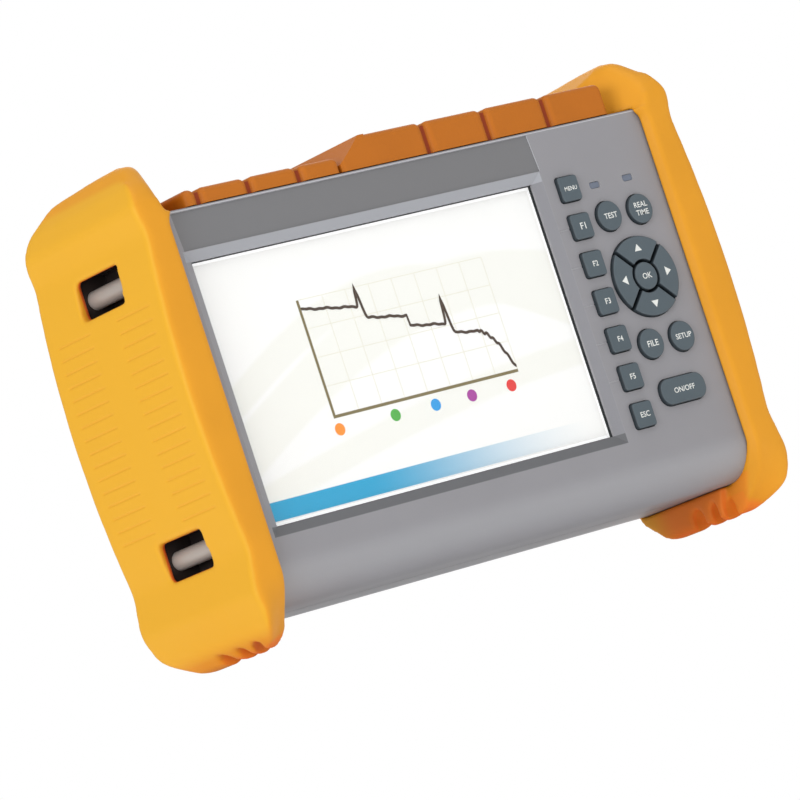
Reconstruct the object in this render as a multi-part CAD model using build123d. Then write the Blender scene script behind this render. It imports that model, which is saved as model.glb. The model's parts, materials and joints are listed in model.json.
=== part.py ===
from build123d import *
from math import atan2, cos, degrees, radians, sin
import os

os.makedirs("parts", exist_ok=True)

# Hand-held optical time domain reflectometer, standing upright on its two rubber bumpers.
# X runs to the viewer's right, the screen faces -Y, Z is up, millimetres throughout.
# The origin lies on the ground under the middle of the whole instrument.

# Overall size
WIDTH = 253.0
DEPTH = 73.6
HEIGHT = 173.0
FRONT = -DEPTH / 2
BACK = DEPTH / 2
HALF = WIDTH / 2

# Clearances
FIT = 0.15
RUN = 0.06
KEY_GAP = 0.3

# Case shells
CASE_HALF = HALF - 6.1
CASE_BOTTOM = 12.0
CASE_TOP = HEIGHT - 20.5
CASE_HEIGHT = CASE_TOP - CASE_BOTTOM
CASE_MIDDLE = (CASE_TOP + CASE_BOTTOM) / 2
FACE_STEP = 4.5
REAR_STEP = 4.5
WALL = 2.5
FACE_WALL = 3.0
CHIN_RADIUS = 14.0
BROW_RADIUS = 1.2
SPLIT = 1.2
SEAL = 0.8
SEAL_WIDTH = 1.4
SEAL_ROUND = 1.0
FACE = FRONT + FACE_STEP
REAR = BACK - REAR_STEP
FACE_INSIDE = FACE + FACE_WALL
REAR_INSIDE = REAR - WALL
SEAL_FRONT = SPLIT - SEAL / 2
SEAL_BACK = SPLIT + SEAL / 2

# Bumpers
BAND = 17.0
BAND_DRAFT = 3.0
BAND_CORNER = 6.0
LOBE_INSIDE = HALF - 27.0
LOBE_DEPTH = 18.0
LOBE_LEAN = 14.0
FOOT_INSIDE = HALF - 19.5
FOOT_ROUND = 3.0
SILL = CASE_BOTTOM + 3
SOFT_EDGE = 2.0
BOW_RISE = 3.7
BACK_BOW_RISE = 1.0
BOW_SHARE = 0.88
DIP_LOW = 33.5
DIP_HIGH = HEIGHT - 27
WINDOW_FRONT = 21.7
WINDOW_LENGTH = DEPTH - 47.8
WINDOW_HEIGHT = 13.7
WINDOW_LOW = CASE_BOTTOM + 20.8
WINDOW_HIGH = CASE_TOP - 25
WINDOW_CORNER = 0.8
NOTCH_WIDTH = 6.4
NOTCH_PITCH = 11.2
NOTCH_FIRST = 16.5
NOTCH_RISE = 7.5
NOTCH_RUNOUT = 1.2
NOTCHES = 3
GRIP_COUNT = 16
GRIP_DEPTH = 0.35
GRIP_MARGIN = 4.5
GRIP_LENGTH = 0.46 * DEPTH
GRIP_TURN = 0.9

# Strap pins
PIN_DIAMETER = 7.0
PIN_SEAT = 2.6
PIN_RECESS = 1.3
POCKET_MARGIN = 1.2
POCKET_DEPTH = 11.5
POCKET_WALL = 1.4

# Screen
SCREEN_X = -25.2
SCREEN_Z = CASE_MIDDLE + 4.05
SCREEN_WIDTH = WIDTH - 96.2
SCREEN_HEIGHT = CASE_HEIGHT - 45.5
BEZEL_RUN = 3.8
BEZEL_DEPTH = 2.0
BEZEL_TOP = SCREEN_Z + SCREEN_HEIGHT / 2 + BEZEL_RUN
BEZEL_RIGHT = SCREEN_X + SCREEN_WIDTH / 2 + BEZEL_RUN
GLASS_LAP = 2.5
GLASS_THICK = 1.2
LCD_THICK = 5.6
LCD_LAP = 3.0
LCD_BEVEL = 0.8
STRIP_GAP = 1.2
STRIP_DEPTH = 0.45
STRIP_LEFT = 20.0 - HALF
STRIP_RIGHT = BEZEL_RIGHT + 0.4
STRIP_SLANT = 1.0
GUIDE_WIDTH = 0.5
GUIDE_DEPTH = 0.25

# Keys
KEY_PROUD = 1.6
KEY_TRAVEL = 0.8
KEY_FLANGE = 0.9
KEY_FLANGE_THICK = 0.9
KEY_EDGE = 0.55
KEY_SLACK = 0.1
COLUMN_X = HALF - 59.5
COLUMN_PITCH = 0.15 * SCREEN_HEIGHT
COLUMN_Z = SCREEN_Z + 3 * COLUMN_PITCH - 0.15
COLUMN_NAMES = ["menu", "f1", "f2", "f3", "f4", "f5", "esc"]
SQUARE_WIDTH = 9.3
SQUARE_HEIGHT = 0.66 * COLUMN_PITCH
SQUARE_CORNER = 1.2
ROUND_DIAMETER = 11.2
PAD_DIAMETER = 30.0
PAD_SPLIT = 1.3
PAD_X = COLUMN_X + SQUARE_WIDTH / 2 + PAD_DIAMETER / 2 + 2.05
PAD_Z = SCREEN_Z + 5.4
OK_DIAMETER = 10.4
OK_RING = 1.0
ROW_RISE = PAD_DIAMETER / 2 + ROUND_DIAMETER / 2 + 3.7
ROUND_SPREAD = ROUND_DIAMETER / 2 + 2
ROUND_KEYS = {"test": (PAD_X - ROUND_SPREAD, PAD_Z + ROW_RISE), "real_time": (PAD_X + ROUND_SPREAD, PAD_Z + ROW_RISE),
              "file": (PAD_X - ROUND_SPREAD, PAD_Z - ROW_RISE), "setup": (PAD_X + ROUND_SPREAD, PAD_Z - ROW_RISE)}
POWER_WIDTH = 21.6
POWER_HEIGHT = 9.8
POWER_Z = PAD_Z - ROW_RISE - ROUND_DIAMETER / 2 - POWER_HEIGHT / 2 - 8.1
STEM_DIAMETER = 3.2
LED_WIDTH = 4.6
LED_HEIGHT = 2.2
LED_CORNER = 0.7
LED_FLANGE = 0.8
LED_FLANGE_THICK = 1.2
LED_Z = PAD_Z + ROW_RISE + ROUND_DIAMETER / 2 + LED_HEIGHT / 2 + 5.6
LED_X = (PAD_X - ROUND_SPREAD - 1.1, PAD_X + ROUND_SPREAD - 0.2)
LED_SINK = 0.3

# Keypad behind the face
KEYBOARD_LEFT = COLUMN_X - SQUARE_WIDTH / 2 - 2.75
KEYBOARD_RIGHT = PAD_X + PAD_DIAMETER / 2 + 1.9
KEYBOARD_MARGIN = 12.1
KEYBOARD_THICK = 1.6
KEYBOARD_CORNER = 2.0
MAT_INSET_X = 1.0
MAT_INSET_Z = 5.0
MAT_THICK = 0.8
MAT_RIM = 1.0
MAT_CORNER = 3.0
POST = 4.0
POST_HOLE = 2.2
POST_INSET = 2.5
DOME_HEIGHT = 0.5
DOME_DIAMETER = 4.4

# Port tray and covers
TRAY_HALF = LOBE_INSIDE - 2.5
TRAY_FRONT = 9.5
TRAY_BACK = DEPTH - 20.6
TRAY_FLOOR = CASE_TOP - 8
TRAY_SINK = 0.4
TRAY_WALL = 1.6
TRAY_LIP = 1.7
TRAY_LIP_THICK = 2.0
COVER_FRONT = 5.3
COVER_BACK = DEPTH - 18.6
COVER_WALL = 2.6
COVER_SEAT = 0.3
COVER_RIGHT = LOBE_INSIDE - 0.9
COVER_LEFT = -COVER_RIGHT
COVER_STEP = 0.289 * COVER_LEFT
COVER_JOIN = 0.6
LOW_TOP = CASE_TOP + 6.1
LOW_STUB = 6.2
TALL_TOP = CASE_TOP + 12.1
TALL_SLOPE = 11.5
TALL_SHOULDER_Z = CASE_TOP + 3.1
SKIN_INSET = 0.4
GROOVE = 2.0
GROOVE_DEPTH = 1.5
PILLOW_EDGE = 2.4
HINGE_Y = DEPTH - 14.6
HINGE_Z = CASE_TOP + 2.9
HINGE_PIN = 2.0
HINGE_BEAD = 2.2
HINGE_WEB = 1.76
LUG_WIDTH = 4.0
LUG_INSET = 8.0
LUG_GAP = 0.4
PIN_SET_IN = 7.0

# Sockets
PORT_Y = DEPTH / 2 - 5.8
ADAPTER_SHARES = {"otdr_port": 0.24, "power_meter_port": 0.5547, "fault_locator_port": 0.8694}
ADAPTER_FLANGE = 13.0
ADAPTER_FLANGE_THICK = 1.6
ADAPTER_CORNER = 2.0
ADAPTER_BARREL = 8.0
ADAPTER_RISE = 9.0
ADAPTER_LEAD = 0.4
ADAPTER_BORE = 6.2
ADAPTER_BODY = 9.0
ADAPTER_DROP = 7.0
ADAPTER_HOLE = 1.8
ADAPTER_HOLE_REACH = 4.6
SLEEVE_OUTER = 3.2
FERRULE = 2.5
SLEEVE_LENGTH = 11.0
SLEEVE_SINK = 1.2
DC_SHARE = 0.152
USB_SHARES = (0.383, 0.613)
NET_SHARE = 0.872
SOCKET_SIZES = {"dc_jack": (9.0, 11.0), "usb": (7.2, 14.6), "ethernet_jack": (16.0, 13.6)}
IO_TOP = CASE_TOP - 15.4
SOCKET_TOP = CASE_TOP - 1.5
IO_THICK = 1.6
IO_MARGIN = 12.0
IO_LENGTH = TRAY_BACK - TRAY_FRONT - 13.5
DC_BORE = 6.4
DC_PIN = 2.0

# Inner pieces
BOARD_Y = 24.0
BOARD_THICK = 1.6
BOARD_WIDTH = WIDTH - 77
BOARD_HEIGHT = CASE_HEIGHT - 44.5
BOARD_X = -12.0
BOARD_Z = SCREEN_Z - 4.3
BOARD_INSET = 5.0
BOARD_POST = 6.0
BOARD_SCREW = 2.8
BOARD_HOLE = 3.2
SPOOL_DIAMETER = 60.0
SPOOL_THICK = 8.0
SPOOL_FLANGE = 1.2
SPOOL_GROOVE = 5.0
SPOOL_RIM = 3.0
SPOOL_BORE = 12.0
SPOOL_X = HALF - 38.5 - SPOOL_DIAMETER / 2
MODULE_LEFT = 60.5 - HALF
MODULE_RIGHT = SPOOL_X - SPOOL_DIAMETER / 2 - 2
MODULE_Z = BOARD_Z + 9
MODULE_HEIGHT = BOARD_HEIGHT - 24
MODULE_STANDOFF = 2.0
MODULE_BEVEL = 1.5
MODULE_FOOT = 5.0
MODULE_FOOT_INSET = 6.0
BATTERY_WIDTH = 104.0
BATTERY_HEIGHT = 58.0
BATTERY_DEPTH = 0.2826 * DEPTH
BATTERY_Z = CASE_BOTTOM + 57
BATTERY_ROUND = 4.0
BATTERY_ROOM = 0.4
BAY_WALL = 1.5
DOOR_WIDTH = BATTERY_WIDTH + 16
DOOR_HEIGHT = BATTERY_HEIGHT + 12
DOOR_THICK = 2.5
DOOR_CORNER = 3.0
DOOR_SCREW_INSET = 4.0
BUZZER_DIAMETER = 12.0
BUZZER_HEIGHT = 5.0
BUZZER_HOLE = 2.0
BUZZER_INSET = 14.0

# Folding stand
STAND_WIDTH = 156.0
STAND_LENGTH = 94.0
STAND_LEG = 13.0
STAND_THICK = 3.6
STAND_OUTER_ROUND = 8.0
STAND_INNER_ROUND = 5.0
STAND_Z = CASE_BOTTOM + 103
STAND_GAP = 0.3
STAND_PIN = 2.0
STAND_PIN_MARGIN = 1.0
STAND_LUG = 6.0

# Screws
SCREW_DIAMETER = 3.0
SCREW_PLAY = 0.1
SCREW_HEAD = 5.6
SCREW_HEAD_HEIGHT = 2.2
SCREW_LENGTH = 10.0
BOSS = 7.0
SCREW_X = (22.5 - HALF, COVER_STEP + 14.5, HALF - 22.5)
SCREW_Z = (CASE_BOTTOM + 8.5, CASE_TOP - 12.1)


def depth(distance):
    """Y of a plane that many millimetres behind the bumpers' front."""
    return FRONT + distance


def plate(x0, x1, y0, y1, z0, z1):
    """Rectangular block between three pairs of planes."""
    centre = Pos((x0 + x1) / 2, (y0 + y1) / 2, (z0 + z1) / 2)
    return centre * Box(abs(x1 - x0), abs(y1 - y0), abs(z1 - z0))


def front_plane(y):
    """Drawing plane seen from the front: X to the right, Z up."""
    return Plane((0, y, 0), x_dir=(1, 0, 0), z_dir=(0, -1, 0))


def forward_prism(sketch, y0, y1):
    """Sketch drawn as seen from the front (X right, Z up), extruded from y0 back to y1."""
    return extrude(front_plane(y0) * sketch, amount=-(y1 - y0))


def side_prism(sketch, x0, x1):
    """Sketch drawn as seen from the right end (Y right, Z up), extruded from x0 to x1."""
    return extrude(Plane((x0, 0, 0), x_dir=(0, 1, 0), z_dir=(1, 0, 0)) * sketch, amount=x1 - x0)


def rod(diameter, start, end):
    """Round bar from one point to another."""
    axis = Vector(*end) - Vector(*start)
    return extrude(Plane(origin=start, z_dir=axis) * Circle(diameter / 2), amount=axis.length)


def rounded_outline(corners):
    """Closed face from (a, b, radius) corners."""
    points = [(a, b) for a, b, _ in corners]
    radii = [r for _, _, r in corners]
    return make_face(FilletPolyline(*points, radius=radii, close=True))


def bow(low, high, rise):
    """Corner height and radius of a long arc that stands out by rise halfway from low to high."""
    reach = (high - low) / 2
    corner = rise / (1 - BOW_SHARE / 2)
    return corner, BOW_SHARE * reach ** 2 / corner


def case_block(inset, front, back, bottom_round):
    """Solid of the case's outer form, shrunk all round by inset, between two Y planes."""
    profile = rounded_outline([
        (front, CASE_BOTTOM + inset, bottom_round),
        (back, CASE_BOTTOM + inset, 0),
        (back, CASE_TOP - inset, 0),
        (front, CASE_TOP - inset, BROW_RADIUS if inset == 0 else 0),
    ])
    return side_prism(profile, -CASE_HALF + inset, CASE_HALF - inset)


# Front case shell

def key_column():
    """Name and centre of the seven square keys, top to bottom."""
    return {name: (COLUMN_X, COLUMN_Z - i * COLUMN_PITCH) for i, name in enumerate(COLUMN_NAMES)}


def square_key(grow=0.0):
    return RectangleRounded(SQUARE_WIDTH + 2 * grow, SQUARE_HEIGHT + 2 * grow, SQUARE_CORNER + grow)


def round_key(grow=0.0):
    return Circle(ROUND_DIAMETER / 2 + grow)


def power_key(grow=0.0):
    return RectangleRounded(POWER_WIDTH + 2 * grow, POWER_HEIGHT + 2 * grow, 0.44 * POWER_HEIGHT + grow)


def arrow_key(turn, grow=0.0):
    """Quarter of the ring round the OK key, centred on the turn angle."""
    ring = Circle(PAD_DIAMETER / 2 + grow) - Circle(OK_DIAMETER / 2 + OK_RING - grow)
    reach = PAD_DIAMETER
    edge = (PAD_SPLIT / 2 - grow) * 2 ** 0.5
    wedge = make_face(Polyline((edge, 0), (edge + reach, reach), (edge + reach, -reach), close=True))
    return Rot(0, 0, turn) * (ring & wedge)


ARROW_TURNS = {"right": 0, "up": 90, "left": 180, "down": 270}


def key_shapes():
    """Every key: name to (centre x, centre z, function that draws it, grown by a margin)."""
    keys = {name: (x, z, square_key) for name, (x, z) in key_column().items()}
    keys |= {name: (x, z, round_key) for name, (x, z) in ROUND_KEYS.items()}
    keys["power"] = (PAD_X, POWER_Z, power_key)
    keys["ok"] = (PAD_X, PAD_Z, lambda grow=0.0: Circle(OK_DIAMETER / 2 + grow))
    for name, turn in ARROW_TURNS.items():
        keys[name] = (PAD_X, PAD_Z, lambda grow=0.0, turn=turn: arrow_key(turn, grow))
    return keys


KEYS = key_shapes()
PAD_NAMES = ("ok", *ARROW_TURNS)
SCREWS = [(x, z) for x in SCREW_X for z in SCREW_Z]


def screen_area(grow):
    return Pos(SCREEN_X, SCREEN_Z) * Rectangle(SCREEN_WIDTH + 2 * grow, SCREEN_HEIGHT + 2 * grow)


WINDOW_LOWS = (WINDOW_LOW, WINDOW_HIGH)


def pocket_boxes(margin):
    """The four recesses behind the strap windows, grown by a margin."""
    boxes = []
    front, back = depth(WINDOW_FRONT) - margin, depth(WINDOW_FRONT + WINDOW_LENGTH) + margin
    inner = CASE_HALF - POCKET_DEPTH - margin + POCKET_MARGIN
    for side in (-1, 1):
        for low in WINDOW_LOWS:
            boxes.append(plate(side * (CASE_HALF + 1), side * inner, front, back,
                               low - margin, low + WINDOW_HEIGHT + margin))
    return boxes


PIN_X = CASE_HALF - PIN_RECESS - PIN_DIAMETER / 2
PIN_ENDS = (depth(WINDOW_FRONT) - POCKET_MARGIN - PIN_SEAT,
            depth(WINDOW_FRONT + WINDOW_LENGTH) + POCKET_MARGIN + PIN_SEAT)
PIN_HEIGHTS = [low + WINDOW_HEIGHT / 2 for low in WINDOW_LOWS]


def strap_pins(side, clearance=0.0):
    """Two steel pins that run front to back behind the windows of one bumper."""
    return [rod(PIN_DIAMETER + 2 * clearance, (side * PIN_X, PIN_ENDS[0] - clearance, z),
                (side * PIN_X, PIN_ENDS[1] + clearance, z)) for z in PIN_HEIGHTS]


def tray_opening(grow):
    """The cut in the case's top that the port tray fills."""
    return plate(-TRAY_HALF - grow, TRAY_HALF + grow, depth(TRAY_FRONT) - grow, depth(TRAY_BACK) + grow,
                 TRAY_FLOOR - 5, CASE_TOP + 5)


def shell_extras(front, back):
    """Screw bosses and strap pocket walls inside the shells, between two Y planes."""
    slab = plate(-CASE_HALF, CASE_HALF, front, back, CASE_BOTTOM, CASE_TOP)
    walls = [box & slab for box in pocket_boxes(POCKET_MARGIN + PIN_SEAT + POCKET_WALL)]
    bosses = [rod(BOSS, (x, front, z), (x, back, z)) for x, z in SCREWS]
    return walls, bosses


def cut_pockets(body):
    for box in pocket_boxes(POCKET_MARGIN):
        body -= box
    for side in (-1, 1):
        for pin in strap_pins(side, RUN):
            body -= pin
    return body


def make_front_case():
    outer = case_block(0, FACE, SEAL_FRONT, CHIN_RADIUS)
    inner = case_block(WALL, FACE_INSIDE, SEAL_FRONT + 1, CHIN_RADIUS - WALL)
    body = outer - inner
    walls, bosses = shell_extras(FACE_INSIDE, SEAL_FRONT)
    bosses += [rod(POST, (x, FACE_INSIDE, z), (x, BOARD_FRONT, z)) for x, z in keyboard_posts()]
    for piece in walls + bosses:
        body += piece & outer
    body = cut_pockets(body)
    body -= tray_opening(FIT)
    # Sunk name strip over the screen, left bare
    strip = make_face(Polyline(
        (STRIP_LEFT - STRIP_SLANT, CASE_TOP - STRIP_GAP), (STRIP_RIGHT - STRIP_SLANT, CASE_TOP - STRIP_GAP),
        (STRIP_RIGHT, BEZEL_TOP), (STRIP_LEFT, BEZEL_TOP), close=True))
    body -= forward_prism(strip, FACE - 1, FACE + STRIP_DEPTH)
    # Screen opening with its bevelled frame
    body -= loft([front_plane(FACE) * screen_area(BEZEL_RUN), front_plane(FACE + BEZEL_DEPTH) * screen_area(0)])
    # Engraved guide lines from the screen to the function keys
    for name in COLUMN_NAMES[1:-1]:
        low = KEYS[name][1] - GUIDE_WIDTH / 2
        body -= plate(BEZEL_RIGHT, COLUMN_X, FACE - 1, FACE + GUIDE_DEPTH, low, low + GUIDE_WIDTH)
    body -= forward_prism(screen_area(0), FACE, FACE_INSIDE + 1)
    # Key and lens openings
    for name, (x, z, draw) in KEYS.items():
        if name not in PAD_NAMES:
            body -= forward_prism(Pos(x, z) * draw(KEY_GAP), FACE - 1, FACE_INSIDE + 1)
    body -= forward_prism(Pos(PAD_X, PAD_Z) * Circle(PAD_DIAMETER / 2 + KEY_GAP), FACE - 1, FACE_INSIDE + 1)
    for x in LED_X:
        body -= forward_prism(Pos(x, LED_Z) * led_shape(FIT), FACE - 1, FACE_INSIDE + 1)
    for x, z in SCREWS:
        body -= rod(SCREW_DIAMETER, (x, SCREW_TIP, z), (x, SPLIT, z))
    return body


def led_shape(grow=0.0):
    return RectangleRounded(LED_WIDTH + 2 * grow, LED_HEIGHT + 2 * grow, LED_CORNER + grow)


SCREW_TIP = SEAL_FRONT - SCREW_LENGTH
HEAD_SEAT = REAR - 3.5
BACK_ROUND = 3.0
TUB_WALL = 2.5


def make_rear_case():
    outer = case_block(0, SEAL_BACK, REAR, 0)
    inner = case_block(WALL, SEAL_BACK - 1, REAR_INSIDE, 0)
    outer = fillet(outer.edges().filter_by(Axis.X).group_by(Axis.Y)[-1], BACK_ROUND)
    body = outer - inner
    walls, bosses = shell_extras(SEAL_BACK, REAR_INSIDE)
    for piece in walls + bosses:
        body += piece & outer
    body = cut_pockets(body)
    body -= tray_opening(FIT)
    # Battery bay: a tub with a ledge that the door sits on
    body += door_area(TUB_WALL, REAR - DOOR_THICK - 2, REAR - 1)
    body += battery_area(BATTERY_ROOM + BAY_WALL, BAY_FLOOR - BAY_WALL, REAR - DOOR_THICK)
    body -= door_area(FIT, REAR - DOOR_THICK, REAR + 1)
    body -= battery_area(BATTERY_ROOM, BAY_FLOOR, REAR + 1)
    for x, z in board_corners():
        body += rod(BOARD_POST, (x, BOARD_REAR, z), (x, REAR_INSIDE, z))
        body -= rod(BOARD_SCREW + SCREW_PLAY, (x, BOARD_REAR - 1, z), (x, BOARD_REAR + 8, z))
    for x, z in door_screw_places():
        body += rod(DOOR_POST, (x, REAR - 8, z), (x, REAR - DOOR_THICK, z))
        body -= rod(DOOR_SCREW + SCREW_PLAY, (x, DOOR_SCREW_TIP - 1, z), (x, REAR - DOOR_THICK + 1, z))
    for x, z in SCREWS:
        body -= rod(SCREW_DIAMETER + 0.4, (x, SPLIT - 1, z), (x, REAR + 1, z))
        body -= rod(SCREW_HEAD + 0.4, (x, HEAD_SEAT, z), (x, REAR + 1, z))
    # Lugs for the folding stand and for the port covers
    for x0, x1 in stand_lug_spans():
        lug = side_prism(stand_lug_profile(), x0, x1)
        body += lug
    for x0, x1 in cover_lug_spans():
        body += side_prism(cover_lug_profile(), x0, x1)
    for start, end in stand_pin_spans():
        body -= rod(STAND_PIN, (start, STAND_PIN_Y, STAND_Z), (end, STAND_PIN_Y, STAND_Z))
    body -= rod(HINGE_PIN, (COVER_LEFT, depth(HINGE_Y), HINGE_Z), (COVER_RIGHT, depth(HINGE_Y), HINGE_Z))
    return body


def battery_area(grow, y0, y1):
    """Block as wide and as high as the battery pack, grown by a margin, between two Y planes."""
    return plate(-BATTERY_WIDTH / 2 - grow, BATTERY_WIDTH / 2 + grow, y0, y1,
                 BATTERY_Z - BATTERY_HEIGHT / 2 - grow, BATTERY_Z + BATTERY_HEIGHT / 2 + grow)


def door_area(grow, y0, y1):
    """The same for the battery door."""
    return plate(-DOOR_WIDTH / 2 - grow, DOOR_WIDTH / 2 + grow, y0, y1,
                 BATTERY_Z - DOOR_HEIGHT / 2 - grow, BATTERY_Z + DOOR_HEIGHT / 2 + grow)


DOOR_SCREW = 1.9
DOOR_SCREW_HEAD = 4.0
DOOR_SCREW_SEAT = REAR - 1.3
DOOR_SCREW_TIP = REAR - 5.5
DOOR_POST = 5.0


def door_screw_places():
    reach = DOOR_WIDTH / 2 - DOOR_SCREW_INSET
    rise = DOOR_HEIGHT / 2 - DOOR_SCREW_INSET
    return [(side * reach, BATTERY_Z + up * rise) for side in (-1, 1) for up in (-1, 1)]


def make_battery_door():
    body = door_area(0, REAR - DOOR_THICK, REAR)
    body = fillet(body.edges().filter_by(Axis.Y), DOOR_CORNER)
    for x, z in door_screw_places():
        body -= rod(DOOR_SCREW + 0.5, (x, REAR - DOOR_THICK - 1, z), (x, REAR + 1, z))
        body -= rod(DOOR_SCREW_HEAD + 0.4, (x, DOOR_SCREW_SEAT, z), (x, REAR + 1, z))
    return body


def screw(x, z, tip, seat, shank, head, head_height):
    """Pan-head screw along Y: shank from its tip back to the head's seat."""
    body = rod(shank, (x, tip, z), (x, seat, z)) + rod(head, (x, seat, z), (x, seat + head_height, z))
    return body - rod(head * 0.4, (x, seat + head_height * 0.45, z), (x, seat + head_height + 1, z))


# Folding stand: a U-shaped frame on two pins
STAND_PIN_Y = REAR + STAND_GAP + STAND_THICK / 2


def stand_lug_profile():
    """Side view of a stand lug: round over the pin, square against the case."""
    radius = STAND_THICK / 2
    lug = Pos(STAND_PIN_Y, STAND_Z) * Circle(radius)
    lug += Pos((STAND_PIN_Y + REAR - 1) / 2, STAND_Z) * Rectangle(STAND_PIN_Y - REAR + 1, 2 * radius)
    return lug


def stand_lug_spans():
    inner = STAND_WIDTH / 2 - STAND_LEG - STAND_GAP
    outer = STAND_WIDTH / 2 + STAND_GAP
    return [(-outer - STAND_LUG, -outer), (-inner, -inner + STAND_LUG), (inner - STAND_LUG, inner),
            (outer, outer + STAND_LUG)]


def stand_pin_spans():
    lugs = stand_lug_spans()
    return [(left[0] + STAND_PIN_MARGIN, right[1] - STAND_PIN_MARGIN) for left, right in (lugs[:2], lugs[2:])]


def make_kickstand():
    half = STAND_WIDTH / 2
    low = STAND_Z - STAND_LENGTH
    top = STAND_Z + STAND_THICK / 2
    inner = half - STAND_LEG
    frame = rounded_outline([
        (-half, low, STAND_OUTER_ROUND), (half, low, STAND_OUTER_ROUND), (half, top, 0), (inner, top, 0),
        (inner, low + STAND_LEG, STAND_INNER_ROUND), (-inner, low + STAND_LEG, STAND_INNER_ROUND),
        (-inner, top, 0), (-half, top, 0)])
    body = forward_prism(frame, REAR + STAND_GAP, REAR + STAND_GAP + STAND_THICK)
    rounding = side_prism(Pos(STAND_PIN_Y, STAND_Z) * Circle(STAND_THICK / 2), -half, half)
    below = plate(-half, half, REAR, BACK, low, STAND_Z)
    body &= rounding + below
    for start, end in stand_pin_spans():
        body -= rod(STAND_PIN + 2 * RUN, (start, STAND_PIN_Y, STAND_Z), (end, STAND_PIN_Y, STAND_Z))
    return body


# Bumpers

def bumper_side_outline():
    """Seen from the end of the instrument: front on the left, back on the right."""
    low, high = DIP_LOW - 12, HEIGHT - 22
    rise, radius = bow(low, high, BACK_BOW_RISE)
    edge = DEPTH - BACK_BOW_RISE
    return rounded_outline([
        (depth(0), 0, 15), (depth(0), HEIGHT - 13, 16), (depth(13), HEIGHT + 0.6, 10),
        (depth(DEPTH - 17), HEIGHT - 2.4, 14), (depth(DEPTH - 4.5), HEIGHT - 11, 10), (depth(edge), high, 14),
        (depth(edge + rise), (low + high) / 2, radius), (depth(edge), low, 12),
        (depth(DEPTH - 4), 9.5, 8), (depth(DEPTH - 16.5), 0, 8)])


def bumper_front_outline():
    """Seen from the front, right-hand bumper: inner edge on the left, outer edge on the right."""
    rise, radius = bow(DIP_LOW, DIP_HIGH, BOW_RISE)
    edge = HALF - BOW_RISE
    return rounded_outline([
        (LOBE_INSIDE, 0, 0), (HALF - 11.5, 0, 7), (HALF - 3.8, 6.5, 9), (HALF - 0.9, 18.5, 9),
        (edge, DIP_LOW, 14), (edge + rise, (DIP_LOW + DIP_HIGH) / 2, radius), (edge, DIP_HIGH, 12),
        (HALF - 1.6, HEIGHT - 17, 8), (HALF - 4.6, HEIGHT - 9.5, 9), (HALF - 12.5, HEIGHT + 2.05, 6),
        (LOBE_INSIDE, HEIGHT - 7.5, 0)])


def make_bumper():
    """Right-hand rubber boot; the left one is its mirror image."""
    body = side_prism(bumper_side_outline(), LOBE_INSIDE, HALF + SOFT_EDGE)
    body &= forward_prism(bumper_front_outline(), FRONT, BACK + 1)
    body = fillet(body.edges().filter_by(lambda e: e.center().X > LOBE_INSIDE + 0.5), SOFT_EDGE)
    # Room for the case shells
    body -= case_block(-FIT, FACE - FIT, REAR + FIT, CHIN_RADIUS)
    # Face and back openings lean back towards the case; the chin is left free down to the foot's gap
    body -= mouth(SILL, FACE + 0.2, FRONT - 1)
    body -= mouth(CASE_BOTTOM + 6, REAR - 0.2, BACK + 1)
    body -= chin_cut()
    # The top lobe's inner face leans away from the covers, the foot stops short of the middle
    body -= lobe_cut()
    body -= foot_gap()
    for low in WINDOW_LOWS:
        hole = plate(CASE_HALF - 1, HALF + 1, depth(WINDOW_FRONT), depth(WINDOW_FRONT + WINDOW_LENGTH),
                     low, low + WINDOW_HEIGHT)
        body -= fillet(hole.edges().filter_by(Axis.X), WINDOW_CORNER)
    for i in range(NOTCHES):
        body -= foot_notch(NOTCH_FIRST + i * NOTCH_PITCH)
    for cut in grip_lines():
        body -= cut
    return body


def mouth(low, narrow, wide):
    """Funnel through a bumper's band, from its narrow end at the case to its wide end outside."""
    inside = HALF - BAND
    rings = []
    for y, grow in ((narrow, 0), (wide, BAND_DRAFT)):
        ring = RectangleRounded(2 * (inside + grow), CASE_TOP - low + 2 * grow, BAND_CORNER + grow)
        rings.append(front_plane(y) * Pos(0, (CASE_TOP + low) / 2) * ring)
    return loft(rings)


def chin_cut():
    """Clears the rounded chin of the case: as wide as the mouth, its lower corners square and open."""
    inside = HALF - BAND
    plan = make_face(Polyline(
        (LOBE_INSIDE - 1, FRONT - 1), (inside + BAND_DRAFT, FRONT - 1), (inside, FACE + 0.2),
        (inside, FACE + CHIN_RADIUS), (LOBE_INSIDE - 1, FACE + CHIN_RADIUS), close=True))
    return Pos(0, 0, -1) * extrude(plan, amount=SILL + BAND_CORNER + BAND_DRAFT + 1)


def foot_gap():
    """Space under the case beside the foot, with the foot's inner lower edge rounded."""
    gap = Pos(FOOT_INSIDE - 10, SILL / 2) * Rectangle(20, SILL + 2)
    corner = Pos(FOOT_INSIDE + FOOT_ROUND / 2, FOOT_ROUND / 2) * Rectangle(FOOT_ROUND, FOOT_ROUND)
    corner -= Pos(FOOT_INSIDE + FOOT_ROUND, FOOT_ROUND) * Circle(FOOT_ROUND)
    return forward_prism(gap, FRONT - 1, BACK + 1) + forward_prism(corner, FRONT - 1, BACK + 1)


def lobe_cut():
    """Half space that slopes the top lobe's inner end: inwards with depth, outwards with height."""
    outer = Vector(HALF - BAND + BAND_DRAFT, FRONT, CASE_TOP)
    run = Vector(LOBE_INSIDE, depth(LOBE_DEPTH), CASE_TOP) - outer
    across = Vector(-run.Y, run.X, 0).normalized() * cos(radians(LOBE_LEAN))
    normal = across + Vector(0, 0, sin(radians(LOBE_LEAN)))
    half_space = extrude(Plane(outer, x_dir=run, z_dir=normal) * Rectangle(4 * DEPTH, 4 * DEPTH), amount=DEPTH)
    return half_space & plate(0, WIDTH, 2 * FRONT, BACK, CASE_TOP - 0.4, HEIGHT + 10)


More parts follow.
